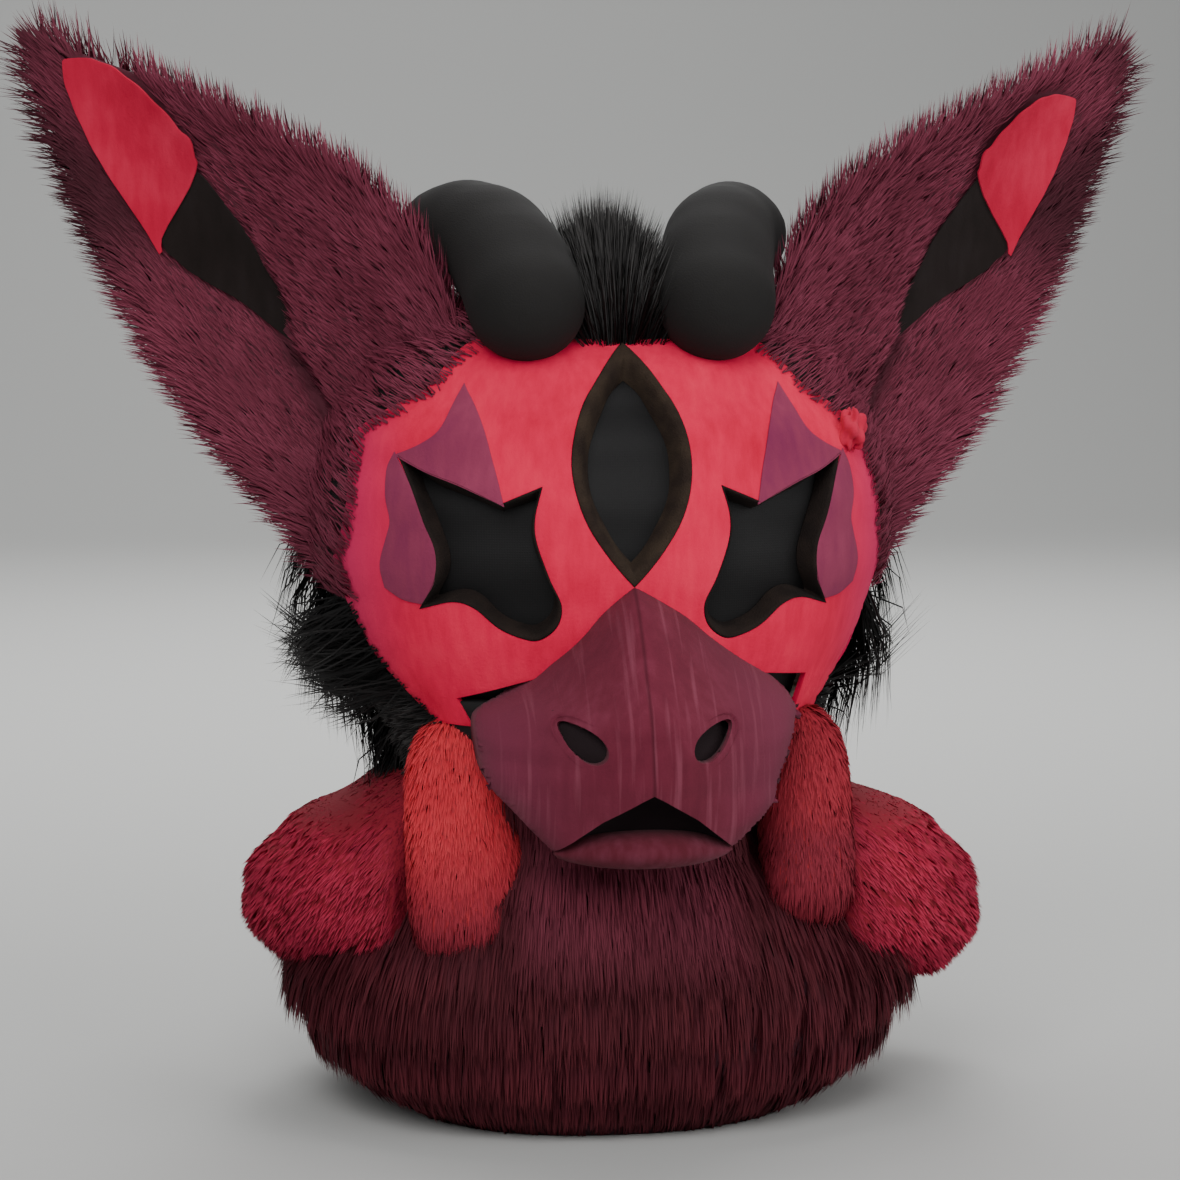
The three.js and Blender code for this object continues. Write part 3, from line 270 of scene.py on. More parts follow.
# Curves and forms
def column(rows, number):
    """A table's column at any level, on a soft curve through its rows."""
    levels = np.array([row[0] for row in rows], float)
    values = np.array([row[number] for row in rows], float)
    slopes = np.gradient(values, levels)

    def at(level):
        level = np.clip(level, levels[0], levels[-1])
        i = np.clip(np.searchsorted(levels, level) - 1, 0, len(levels) - 2)
        step = levels[i + 1] - levels[i]
        t = (level - levels[i]) / step
        start = values[i] + t * step * slopes[i]
        end = values[i + 1] - (1 - t) * step * slopes[i + 1]
        blend = t * t * (3 - 2 * t)
        return start * (1 - blend) + end * blend

    return at


def smoothstep(value, low, high):
    t = np.clip((value - low) / (high - low), 0, 1)
    return t * t * (3 - 2 * t)


def unit(vectors):
    return vectors / np.maximum(np.linalg.norm(vectors, axis=-1, keepdims=True), 1e-9)


def round_form(rows, size):
    """A rounded form about Z: its spot at a share of a turn, at a share of its height."""
    width, front, back = (column(rows, k) for k in (1, 2, 3))
    top = rows[-1][0]

    def at(u, v):
        up = v * top
        turn = u * 2 * math.pi
        c, s = np.cos(turn), np.sin(turn)
        reach = np.where(s < 0, front(up) * size["front"], back(up) * size["back"])
        power = 2 / ROUNDNESS
        x = np.sign(c) * np.abs(c) ** power * width(up) * size["width"]
        y = np.sign(s) * np.abs(s) ** power * reach
        return np.stack([x, y, size["low"] + up * size["height"]], axis=-1)

    return at


def normals_of(form, u, v):
    """A form's outward normals, from short steps each way."""
    step = 0.002
    along = form(u + step, v) - form(u - step, v)
    up = form(u, np.minimum(v + step, 1)) - form(u, np.maximum(v - step, 0))
    cross = np.cross(along, up)
    return unit(cross), np.linalg.norm(cross, axis=-1)


def raised(form, out):
    """The same form, moved out along its normals."""
    return lambda u, v: form(u, v) + normals_of(form, u, v)[0] * out


head_form = round_form(HEAD_ROWS, HEAD)
neck_form = round_form(NECK_ROWS, NECK)
head_width, head_front = column(HEAD_ROWS, 1), column(HEAD_ROWS, 2)


def face_spot(x, z, out=0.0):
    """The front of the foam head over a place on the face, lifted off it by a distance."""
    def depth(x, z):
        up = (z - HEAD["low"]) / HEAD["height"]
        share = np.clip(np.abs(x) / (head_width(up) * HEAD["width"]), 0, 0.995)
        return -(1 - share ** ROUNDNESS) ** (1 / ROUNDNESS) * head_front(up) * HEAD["front"]

    step = 0.5
    slope_x = (depth(x + step, z) - depth(x - step, z)) / (2 * step)
    slope_z = (depth(x, z + step) - depth(x, z - step)) / (2 * step)
    normal = Vector((slope_x, -1, slope_z)).normalized()
    return Vector((x, depth(x, z), z)) + normal * out


muzzle_right, muzzle_left, muzzle_middle, muzzle_side = (column(MUZZLE_ROWS, k) for k in (1, 2, 3, 4))


def muzzle_spot(x, z, out=0.0):
    """The front of the muzzle over a place on the face."""
    down = (MUZZLE_TOP - z) / MUZZLE_HEIGHT
    half = (muzzle_right if x > 0 else muzzle_left)(down) * MUZZLE_HALF_WIDTH
    share = min(abs(x) / max(half, 1), 1) ** 1.6
    reach = (muzzle_middle(down) * (1 - share) + muzzle_side(down) * share) * MUZZLE_REACH
    return Vector((x, -reach - out, z))


def outline(rows, place, step=2.0):
    """Points round a closed outline, straight into its corners and soft elsewhere."""
    spots = [Vector(place(row[0], row[1])) for row in rows]
    corner = [len(row) > 2 for row in rows]
    count = len(spots)
    points = []
    for i in range(count):
        a, b = spots[i], spots[(i + 1) % count]
        start = b - a if corner[i] else (b - spots[i - 1]) / 2
        end = b - a if corner[(i + 1) % count] else (spots[(i + 2) % count] - a) / 2
        steps = max(1, round((b - a).length / step))
        for k in range(steps):
            t = k / steps
            points.append(
                a * (2 * t**3 - 3 * t**2 + 1) + start * (t**3 - 2 * t**2 + t)
                + b * (3 * t**2 - 2 * t**3) + end * (t**3 - t**2)
            )
    return points


def flipped(points):
    return [Vector((-p.x, p.y)) for p in reversed(points)]


def inside(points, x, z):
    """Which places lie inside an outline."""
    polygon = np.array([(p.x, p.y) for p in points])
    held = np.zeros(len(x), bool)
    for (x1, z1), (x2, z2) in zip(polygon, np.roll(polygon, -1, axis=0)):
        held ^= ((z1 > z) != (z2 > z)) & (x < (x2 - x1) * (z - z1) / (z2 - z1 + 1e-9) + x1)
    return held


def shrunk(points, rim):
    """An outline drawn in towards its middle, so that a rim of about one width is left round it."""
    xs, zs = [p.x for p in points], [p.y for p in points]
    middle = Vector(((max(xs) + min(xs)) / 2, (max(zs) + min(zs)) / 2))
    share = Vector((1 - 2 * rim / (max(xs) - min(xs)), 1 - 2.6 * rim / (max(zs) - min(zs))))
    return [middle + (p - middle) * share for p in points]


# Materials
def colour(code, alpha=1.0):
    """An sRGB hex value as the linear colour that a shader takes."""
    parts = [int(code[i : i + 2], 16) / 255 for i in (1, 3, 5)]
    return [c / 12.92 if c <= 0.04045 else ((c + 0.055) / 1.055) ** 2.4 for c in parts] + [alpha]


def add(tree, kind, inputs=(), stops=(), **settings):
    """Adds a node, with its settings, its input values or links, and a ramp's stops."""
    made = tree.nodes.new(kind)
    for name, value in settings.items():
        setattr(made, name, value)
    for name, value in dict(inputs).items():
        if isinstance(value, bpy.types.NodeSocket):
            tree.links.new(value, made.inputs[name])
        else:
            made.inputs[name].default_value = value
    if stops:
        ramp = made.color_ramp.elements
        while len(ramp) < len(stops):
            ramp.new(1.0)
        for element, (place, code) in zip(ramp, stops):
            element.position = place
            element.color = colour(code)
    return made


def material(name):
    """A new material, its node tree and its shader, ready for its pattern."""
    made = bpy.data.materials.new(name)
    made.use_nodes = True
    return made, made.node_tree, made.node_tree.nodes["Principled BSDF"]


def surfaced(made, tone, roughness, gloss, bump=None):
    """Gives a material's shader its colour and its relief, and how rough and glossy it is."""
    tree = made.node_tree
    shader = tree.nodes["Principled BSDF"]
    tree.links.new(tone, shader.inputs["Base Color"])
    if bump:
        tree.links.new(bump.outputs[0], shader.inputs["Normal"])
    shader.inputs["Roughness"].default_value = roughness
    shader.inputs["Specular IOR Level"].default_value = gloss
    return made


def fleece(name, shades, reach=None, painted_crease=False):
    """Short-pile polyester fleece, brushed: soft mottling, a fuzzy edge and no gloss."""
    made, tree, shader = material(name)
    place = add(tree, "ShaderNodeTexCoord").outputs["Object"]
    pile = add(tree, "ShaderNodeTexNoise", {"Vector": place, "Scale": 1 / (1.6 * MM), "Detail": 4})
    cloud = add(tree, "ShaderNodeTexNoise", {"Vector": place, "Scale": 1 / (45 * MM), "Detail": 3})
    strokes = add(tree, "ShaderNodeMapping", {"Vector": place, "Scale": (1, 1, 0.22)})
    brushed = add(
        tree, "ShaderNodeTexNoise", {"Vector": strokes.outputs[0], "Scale": 1 / (5 * MM), "Detail": 5})
    mixed = add(
        tree, "ShaderNodeMix",
        {"Factor": 0.35, "A": cloud.outputs["Fac"], "B": brushed.outputs["Fac"]}, data_type="FLOAT")
    tone = add(tree, "ShaderNodeValToRGB", {"Fac": mixed.outputs[0]}, stops=shades).outputs["Color"]
    # A colour towards the sides along an axis: a darker magenta tone at the coral cover's outer edges; on
    # the muzzle it is painted light, lighter on its rounded sides.
    if reach:
        low, high, code, axis = reach
        away = add(tree, "ShaderNodeSeparateXYZ", {"Vector": place}).outputs[axis]
        far = add(tree, "ShaderNodeMath", {0: away}, operation="ABSOLUTE").outputs[0]
        share = add(
            tree, "ShaderNodeMapRange", {"Value": far, "From Min": low * MM, "From Max": high * MM},
            interpolation_type="SMOOTHSTEP").outputs[0]
        tone = add(
            tree, "ShaderNodeMix", {"Factor": share, 6: tone, 7: colour(code)},
            data_type="RGBA", blend_type="MIX").outputs[2]
    # Painted shade: a thin dark line along the middle, in the muzzle's centre crease; then painted
    # highlights in streaks along its fold lines.
    if painted_crease:
        across = add(tree, "ShaderNodeSeparateXYZ", {"Vector": place}).outputs["X"]
        off = add(tree, "ShaderNodeMath", {0: across}, operation="ABSOLUTE").outputs[0]
        centre_crease_shade = add(
            tree, "ShaderNodeMapRange",
            {"Value": off, "From Min": 0.2 * MM, "From Max": 1.4 * MM, "To Min": 0.45, "To Max": 0.0},
        ).outputs[0]
        tone = add(
            tree, "ShaderNodeMix", {"Factor": centre_crease_shade, 6: tone, 7: colour("#2a0a12")},
            data_type="RGBA", blend_type="MIX").outputs[2]
        fold_line_stretch = add(tree, "ShaderNodeMapping", {"Vector": place, "Scale": (1, 0.05, 0.05)})
        lines = add(tree, "ShaderNodeTexNoise", {
            "Vector": fold_line_stretch.outputs[0], "Scale": 1 / (3.5 * MM), "Detail": 2})
        light = add(
            tree, "ShaderNodeMapRange",
            {"Value": lines.outputs["Fac"], "From Min": 0.56, "From Max": 0.72, "To Max": 0.4}).outputs[0]
        tone = add(
            tree, "ShaderNodeMix", {"Factor": light, 6: tone, 7: colour("#8c4a5a")},
            data_type="RGBA", blend_type="MIX").outputs[2]
    height = add(tree, "ShaderNodeMix",
                 {"Factor": 0.3, "A": pile.outputs["Fac"], "B": brushed.outputs["Fac"]}, data_type="FLOAT")
    bump = add(tree, "ShaderNodeBump", {"Height": height.outputs[0], "Strength": 0.5, "Distance": 0.7 * MM})
    shader.inputs["Sheen Weight"].default_value = 0.04
    shader.inputs["Sheen Roughness"].default_value = 0.6
    return surfaced(made, tone, 0.95, 0.06, bump)


def pile(name, shades, patch, deep, streak=0.5, gloss=0.15):
    """Faux fur of acrylic fibres: darker at the root, lighter at the tip, and drawn towards a deep colour
    by each fibre's shade value, which is partly the fur's own darker tone and partly painted shade.
    """
    made, tree, _ = material(name)
    place = add(tree, "ShaderNodeTexCoord").outputs["Object"]
    along = add(tree, "ShaderNodeAttribute", attribute_name="along").outputs["Fac"]
    tint = add(tree, "ShaderNodeAttribute", attribute_name="tint").outputs["Fac"]
    spread = add(tree, "ShaderNodeMapRange", {"Value": tint, "To Min": -streak / 2, "To Max": streak / 2})
    level = add(tree, "ShaderNodeMath", {0: along, 1: spread.outputs[0]}, operation="ADD")
    tone = add(tree, "ShaderNodeValToRGB", {"Fac": level.outputs[0]}, stops=shades)
    cloud = add(tree, "ShaderNodeTexNoise", {"Vector": place, "Scale": 1 / (35 * MM), "Detail": 2})
    share = add(
        tree, "ShaderNodeMapRange",
        {"Value": cloud.outputs["Fac"], "From Min": 0.4, "From Max": 0.65, "To Max": 0.55})
    mixed = add(
        tree, "ShaderNodeMix", {"Factor": share.outputs[0], 6: tone.outputs[0], 7: colour(patch)},
        data_type="RGBA", blend_type="MIX")
    # Each fibre's shade value: the fur's own darker tone in some places, painted shade in others.
    tone_and_shade = add(tree, "ShaderNodeAttribute", attribute_name="shade").outputs["Fac"]
    final = add(
        tree, "ShaderNodeMix", {"Factor": tone_and_shade, 6: mixed.outputs[2], 7: colour(deep)},
        data_type="RGBA", blend_type="MIX")
    return surfaced(made, final.outputs[2], 0.7, gloss)


def knit(name, code, cell=1.2):
    """Knitted backing cloth of faux fur, or a stretch cloth: fine loops in rows, almost matt."""
    made, tree, _ = material(name)
    place = add(tree, "ShaderNodeTexCoord").outputs["Object"]
    loops = add(tree, "ShaderNodeTexVoronoi", {"Vector": place, "Scale": 1 / (cell * MM)})
    bump = add(tree, "ShaderNodeBump", {
        "Height": loops.outputs["Distance"], "Strength": 0.35, "Distance": 0.3 * MM})
    cloud = add(tree, "ShaderNodeTexNoise", {"Vector": place, "Scale": 1 / (30 * MM), "Detail": 3})
    rgb = [c * 0.72 for c in colour(code)[:3]] + [1.0]
    mixed = add(
        tree, "ShaderNodeMix", {"Factor": cloud.outputs["Fac"], 6: rgb, 7: colour(code)},
        data_type="RGBA", blend_type="MIX")
    return surfaced(made, mixed.outputs[2], 0.85, 0.3, bump)


def cut_foam(name, dark, light, cell=0.9):
    """Polyurethane foam cut with a blade: open cells, matt."""
    made, tree, _ = material(name)
    place = add(tree, "ShaderNodeTexCoord").outputs["Object"]
    cells = add(tree, "ShaderNodeTexVoronoi", {"Vector": place, "Scale": 1 / (cell * MM)})
    cloud = add(tree, "ShaderNodeTexNoise", {"Vector": place, "Scale": 1 / (12 * MM), "Detail": 4})
    stops = ((0.35, dark), (0.65, light))
    tone = add(tree, "ShaderNodeValToRGB", {"Fac": cloud.outputs["Fac"]}, stops=stops)
    bump = add(tree, "ShaderNodeBump", {
        "Height": cells.outputs["Distance"], "Strength": 0.6, "Distance": 0.5 * MM})
    return surfaced(made, tone.outputs[0], 0.92, 0.2, bump)


def see_through_mesh(name, code, spacing=1.2):
    """Plastic-coated mesh of woven threads that catch a little light; the holes between them are painted
    near black, as painted shade of the dark inside seen through them.
    """
    made, tree, _ = material(name)
    place = add(tree, "ShaderNodeTexCoord").outputs["Object"]
    flat = add(tree, "ShaderNodeMapping", {"Vector": place, "Rotation": (math.pi / 2, 0, 0)})
    # The bricks are the holes, painted near black as painted shade; the mortar is the threads.
    weave = add(
        tree, "ShaderNodeTexBrick",
        {"Vector": flat.outputs[0], "Scale": 1.0, "Brick Width": spacing * MM, "Row Height": spacing * MM,
         "Mortar Size": 0.28 * spacing * MM, "Mortar Smooth": 0.5, "Color1": colour("#0e0e0e"),
         "Color2": colour("#101010"), "Mortar": colour(code)}, offset=0.0)
    bump = add(tree, "ShaderNodeBump", {
        "Height": weave.outputs["Fac"], "Strength": 0.25, "Distance": 0.2 * MM})
    return surfaced(made, weave.outputs["Color"], 0.6, 0.22, bump)


CORAL = fleece(
    "coral_fleece", ((0.3, "#c41238"), (0.5, "#da1c46"), (0.7, "#e82e50")), (100, 144, "#c8285c", "X"))
MAUVE_MARK = fleece("mauve_fleece_marking", ((0.3, "#76294a"), (0.5, "#84334e"), (0.7, "#903c56")))
# Muzzle fleece: painted light makes it lighter towards its rounded sides.
MAUVE = fleece(
    "mauve_fleece", ((0.3, "#591d2c"), (0.5, "#642333"), (0.7, "#722e40")), (20, 80, "#6e2c40", "X"),
    # Painted shade in the centre crease and painted highlights along the fold lines.
    painted_crease=True)
LIP = fleece("mauve_fleece_lip", ((0.3, "#48161f"), (0.5, "#561e2a"), (0.7, "#6c3242")))
RED_PATCH = fleece("red_fleece_patch", ((0.3, "#a2122e"), (0.5, "#b41c3a"), (0.7, "#c42c48")))
BLACK_PATCH_CLOTH = fleece("black_fleece_patch", ((0.3, "#181311"), (0.5, "#1f1918"), (0.7, "#262020")))
RIM = cut_foam("painted_cut_foam", "#241a15", "#33281f")
EYE_RIM_FOAM = cut_foam("painted_cut_foam_at_the_eyes", "#17100e", "#231a16")
FOAM = cut_foam("upholstery_foam", "#c9bfae", "#dcd4c6", 1.4)
MESH = see_through_mesh("black_see_through_mesh", "#100e0f")
# Dark cloth for the mouth's lining, also used for the sheets of painted shade inside the nostrils.
LINING_AND_NOSTRIL_SHADE = knit("mouth_lining_and_nostril_shade_cloth", "#1c0e12")
HORN_CLOTH = knit("black_stretch_cloth", "#191716", 0.9)
# Wine fur: its deep colour is the darker fur at the ear's tip and outer edge, and painted shadow along the
# ear's crease.
EAR_FUR = pile(
    "wine_faux_fur", ((0.0, "#5a2230"), (0.45, "#702c3e"), (1.0, "#8a4054")), "#642636", "#34141c", 0.4)
BLACK_FUR = pile(
    "black_faux_fur", ((0.0, "#121111"), (0.5, "#252323"), (1.0, "#464443")), "#1c1b1b", "#0c0b0b")
# Crimson fur: its deep colour is painted shade, where the shoulder lobes' inner ends tuck behind the
# stripes.
RED_FUR = pile(
    "crimson_faux_fur", ((0.0, "#921c30"), (0.45, "#ac2842"), (1.0, "#c03a56")), "#96223c", "#560e1a", 0.35)
STRIPE_FUR = pile(
    "orange_red_faux_fur", ((0.0, "#c82c3a"), (0.45, "#d83a44"), (1.0, "#e24a50")), "#cc323e", "#822634",
    0.35)
CHEST_FUR = pile(
    "maroon_faux_fur", ((0.0, "#360c15"), (0.45, "#46141e"), (1.0, "#5a2028")), "#3c1018", "#4c1c28", 0.4)
THROAT_FUR = pile(
    "mauve_faux_fur", ((0.0, "#581e2c"), (0.45, "#6a2a39"), (1.0, "#803646")), "#602534", "#48161f", 0.4)


# Pieces
def put(name, mesh, finish, replaces=(), slot=None, padded=None):
    """Places a finished bmesh as a piece that rides with the head."""
    if isinstance(mesh, bmesh.types.BMesh):
        data = bpy.data.meshes.new(name)
        mesh.to_mesh(data)
        mesh.free()
    else:
        data = mesh
    spots = np.empty(len(data.vertices) * 3)
    data.vertices.foreach_get("co", spots)
    spots = spots.reshape(-1, 3)
    spots[:, 1] += CENTRE_Y
    data.vertices.foreach_set("co", (spots * MM).ravel())
    data.shade_smooth()
    data.materials.append(finish)
    piece = bpy.data.objects.new(name, data)
    bpy.context.scene.collection.objects.link(piece)
    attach(piece, "root")
    if replaces:
        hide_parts(*replaces)
    return piece


def wall(piece, thickness, edge=0.0):
    """Gives a sheet its thickness, inwards from its face, and a soft edge."""
    solid = piece.modifiers.new("wall", "SOLIDIFY")
    solid.thickness = thickness * MM
    solid.offset = -1
    if edge:
        bevel = piece.modifiers.new("soft_edge", "BEVEL")
        bevel.width = edge * MM
        bevel.segments = 2
        bevel.limit_method = "ANGLE"
        bevel.angle_limit = math.radians(50)
    return piece


def cloth(piece, thickness, edge=0.0):
    """Gives a sheet of cloth its thickness and a soft edge."""
    return wall(piece, thickness, edge)


def stuffed(made, voxel=5, reach=5):
    """Lets a stuffed piece swell against its cloth in a short simulation, its movement capped."""
    bmesh.ops.scale(made, vec=(MM, MM, MM), verts=made.verts)
    data = bpy.data.meshes.new("stuffing")
    made.to_mesh(data)
    made.free()
    pad = bpy.data.objects.new("stuffing", data)
    scene = bpy.context.scene
    scene.collection.objects.link(pad)
    grid = pad.modifiers.new("grid", "REMESH")
    grid.mode = "VOXEL"
    grid.voxel_size = voxel * MM
    pad.data = bpy.data.meshes.new_from_object(pad.evaluated_get(bpy.context.evaluated_depsgraph_get()))
    pad.modifiers.clear()
    start = np.array([v.co for v in pad.data.vertices])
    fabric = pad.modifiers.new("fabric", "CLOTH")
    fabric.settings.use_pressure = True
    fabric.settings.uniform_pressure_force = CLOTH_PRESSURE
    fabric.settings.effector_weights.gravity = 0
    fabric.settings.mass = 0.3
    fabric.point_cache.frame_start = 1
    fabric.point_cache.frame_end = CLOTH_STEPS
    for step in range(1, CLOTH_STEPS + 1):
        scene.frame_set(step)
    held = pad.evaluated_get(bpy.context.evaluated_depsgraph_get()).to_mesh()
    move = np.array([v.co for v in held.vertices]) - start
    far = np.linalg.norm(move, axis=1, keepdims=True)
    spots = (start + move * np.minimum(1, reach * MM / np.maximum(far, 1e-9))) / MM
    swollen = bmesh.new()
    swollen.from_mesh(pad.data)
    for vert, spot in zip(swollen.verts, spots):
        vert.co = spot
    bpy.data.objects.remove(pad)
    scene.frame_set(1)
    bmesh.ops.smooth_vert(
        swollen, verts=swollen.verts, factor=0.5, use_axis_x=True, use_axis_y=True, use_axis_z=True)
    return swollen


def skin(form, turns, levels, closed=True):
    """A form's surface as a mesh: a grid of squares drawn round it, closed where its ends meet."""
    made = bmesh.new()
    bmesh.ops.create_grid(made, x_segments=turns, y_segments=levels, size=0.5)
    shares = np.array([v.co[:2] for v in made.verts]) + 0.5
    for vert, spot in zip(made.verts, form(shares[:, 0], shares[:, 1])):
        vert.co = spot
    if closed:
        bmesh.ops.remove_doubles(made, verts=made.verts, dist=0.05)
    return made


def sheet(outer, holes=(), spot=face_spot, out=0.0, cell=4.0):
    """A sheet cut to an outline, crossed by a fine grid of folds and laid on a form."""
    made = bmesh.new()
    for loop in (outer, *holes):
        verts = [made.verts.new((p.x, 0, p.y)) for p in loop]
        for a, b in zip(verts, verts[1:] + verts[:1]):
            made.edges.new((a, b))
    bmesh.ops.triangle_fill(made, edges=made.edges[:], use_beauty=True, normal=(0, -1, 0))
    for axis in (0, 2):
        places = [v.co[axis] for v in made.verts]
        level = math.ceil(min(places) / cell) * cell
        while level < max(places):
            at = Vector((level if axis == 0 else 0, 0, level if axis == 2 else 0))
            away = Vector((axis == 0, 0, axis == 2))
            everything = made.verts[:] + made.edges[:] + made.faces[:]
            bmesh.ops.bisect_plane(made, geom=everything, plane_co=at, plane_no=away, dist=0.01)
            level += cell
    for vert in made.verts:
        vert.co = spot(vert.co.x, vert.co.z, out)
    turned = [face for face in made.faces if face.normal.y > 0]
    bmesh.ops.reverse_faces(made, faces=turned)
    return made


def loops(rings, closed=True):
    """Rings of points joined side by side with bands of faces."""
    made = bmesh.new()
    joined = []
    for ring in rings:
        verts = [made.verts.new(p) for p in ring]
        pairs = zip(verts, verts[1:] + verts[:1]) if closed else zip(verts, verts[1:])
        joined.append([made.edges.new(pair) for pair in pairs])
    for low, high in zip(joined, joined[1:]):
        bmesh.ops.bridge_loops(made, edges=low + high)
    bmesh.ops.recalc_face_normals(made, faces=made.faces)
    return made


def mirror_copy(made):
    """A mesh's mirror image, facing outwards again."""
    other = made.copy()
    bmesh.ops.scale(other, vec=(-1, 1, 1), verts=other.verts)
    bmesh.ops.reverse_faces(other, faces=other.faces)
    return other


def pair(name, made, finish, nodes, **how):
    """A piece on the right, and its mirror image on the left."""
    other = mirror_copy(made)
    return [
        put(f"{name}_{side}", mesh, finish, replaces=[f"{node}_{side}" for node in nodes], **how)
        for side, mesh in (("right", made), ("left", other))
    ]


# Fur
def fibres(kind):
    return FIBRES[kind]


def scattered(form, count, seed, density=None):
    """Places spread evenly over a form's surface, thinned where a density says so."""
    rng = np.random.default_rng(seed)
    u, v = rng.random(count * 6), rng.random(count * 6)
    area = normals_of(form, u, v)[1]
    if density is not None:
        area = area * density(u, v, form(u, v))
    u, v, area = u[area > 0], v[area > 0], area[area > 0]
    chosen = rng.choice(len(u), size=min(count, len(u)), replace=False, p=area / area.sum())
    return u[chosen], v[chosen]


def strands(name, roots, normals, lay, length, finish, *, width=0.8, lift=0.35, levels=4, wander=0.16,
            hug=0.0, clump=0.35, clump_size=5.0, seed=1, shade=None, slot=None, replaces=()):
    """Fur: one tapered ribbon a fibre, lying along its lay, drawn together at the tips into locks."""
    rng = np.random.default_rng(seed)
    count = len(roots)
    stray = rng.normal(0, wander, (count, 3))
    length = (length * rng.uniform(*LENGTH_SPREAD, count))[:, None]
    lift = np.asarray(lift, float).reshape(-1, 1)
    start = unit(normals * lift + lay * (1 - lift) + stray)
    bend = unit(lay + stray * 0.6 + normals * lift * 0.3)
    middle = roots + start * length * 0.5
    tip = middle + (bend - normals * hug) * length * 0.5
    cells = np.floor(roots / clump_size).astype(np.int64)
    keys = cells[:, 0] * LOCK_KEYS[0] ^ cells[:, 1] * LOCK_KEYS[1] ^ cells[:, 2] * LOCK_KEYS[2]
    _, lock, sizes = np.unique(keys, return_inverse=True, return_counts=True)
    locks = len(sizes)

    def mean(points):
        return np.stack([np.bincount(lock, points[:, k], locks) / sizes for k in range(3)], axis=-1)[lock]

    tip += (mean(tip) - tip) * clump
    middle += (mean(middle) - middle) * clump * 0.4
    lock_tint = rng.random(locks)[lock]
    tint = 0.5 * lock_tint + 0.5 * rng.random(count)
    side = unit(np.cross(tip - roots, normals + rng.normal(0, RIBBON_TURN, (count, 3))))
    shares = np.linspace(0, 1, levels)
    taper = np.array([1.0, 0.85, 0.55, 0.0] if levels == 4 else [1.0, 0.75, 0.0])
    spots, faced, along = [], [], []
    for share, thick in zip(shares, taper):
        spine = roots * (1 - share) ** 2 + middle * 2 * share * (1 - share) + tip * share**2
        outward = unit(normals * 0.75 + np.cross(side, tip - roots) / length * 0.4)
        for sign in ((-1, 1) if thick else (0,)):
            spots.append(spine + side * (sign * thick * width / 2))
            faced.append(unit(outward + side * sign * 0.3))
            along.append(np.full(count, share))
    per = len(spots)
    spots = np.stack(spots, axis=1).reshape(-1, 3)
    spots[:, 2] = np.maximum(spots[:, 2], FUR_FLOOR)
    faced = np.stack(faced, axis=1).reshape(-1, 3)
    base = np.arange(count)[:, None] * per
    quads = [base + np.array([[k, k + 1, k + 3, k + 2]]) for k in range(0, per - 3, 2)]
    ends = base + np.array([[per - 3, per - 2, per - 1]])
    data = bpy.data.meshes.new(name)
    data.from_pydata(spots, [], np.concatenate(quads).tolist() + ends.tolist())
    shade = np.zeros(count) if shade is None else shade
    fields = {
        "along": np.stack(along, axis=1).ravel(),
        "tint": np.repeat(tint, per),
        "shade": np.repeat(shade, per),
    }
    for label, values in fields.items():
        data.attributes.new(label, "FLOAT", "POINT").data.foreach_set("value", values.astype(np.float32))
    piece = put(name, data, finish, slot=slot, replaces=replaces)
    data.normals_split_custom_set_from_vertices(faced)
    return piece


def coat(name, form, kind, lay, length, finish, seed=1, density=None, shade=None, flip=False, **how):
    """Fur over a form, with a lay and a length worked out from each root's place."""
    u, v = scattered(form, fibres(kind), seed, density)
    roots = form(u, v)
    normals = normals_of(form, u, v)[0] * (-1 if flip else 1)
    lay_there = lay(u, v, roots, normals)
    flat = unit(lay_there - normals * np.sum(lay_there * normals, axis=1, keepdims=True))
    reach = length(u, v, roots) if callable(length) else np.full(len(u), float(length))
    return strands(name, roots, normals, flat, reach, finish, seed=seed,
                   shade=shade(roots) if shade else None, **how)


# Foam head and face
def face_place(across, up):
    return across * FACE_HALF_WIDTH, FACE_LOW + up * FACE_HEIGHT


def eye_place(out, up):
    return EYE_X + out * EYE_WIDTH, EYE_Z + up * EYE_HEIGHT


def muzzle_place(across, down):
    return across * MUZZLE_HALF_WIDTH, MUZZLE_TOP - down * MUZZLE_HEIGHT


def brow_outline():
    """A leaf of two arcs, pointed above and below."""
    steps = 28
    levels = [2 * i / steps - 1 for i in range(steps)]
    right = [Vector((BROW_HALF_WIDTH * (1 - t * t), BROW_Z + t * BROW_HALF_HEIGHT)) for t in levels]
    left = [Vector((-BROW_HALF_WIDTH * (1 - t * t), BROW_Z - t * BROW_HALF_HEIGHT)) for t in levels]
    return right + left


left_face_rows = tuple((-row[0], *row[1:]) for row in reversed(FACE_EDGE_LEFT))
face_edge = outline(FACE_EDGE_RIGHT + left_face_rows, face_place, 3)
eye_edge = outline(EYE_EDGE, eye_place)
slot_right = outline(SLOT_RIGHT, muzzle_place)
slot_left = flipped(outline(SLOT_LEFT, muzzle_place))
brow_edge = brow_outline()


def foam_head():
    """The hollow foam dome, seen from below and through the neck."""
    made = skin(head_form, 110, 66)
    spots = np.array([v.co for v in made.verts])
    cut = np.zeros(len(spots), bool)
    for edge in (eye_edge, flipped(eye_edge), brow_edge, slot_right, slot_left):
        cut |= inside(shrunk(edge, -4), spots[:, 0], spots[:, 2]) & (spots[:, 1] < 0)
    bmesh.ops.delete(made, geom=[v for v, gone in zip(made.verts[:], cut) if gone], context="VERTS")
    piece = put("foam_dome", made, FOAM, replaces=["head_foam"], slot="foam", padded=1.0)
    return wall(piece, FOAM_WALL)


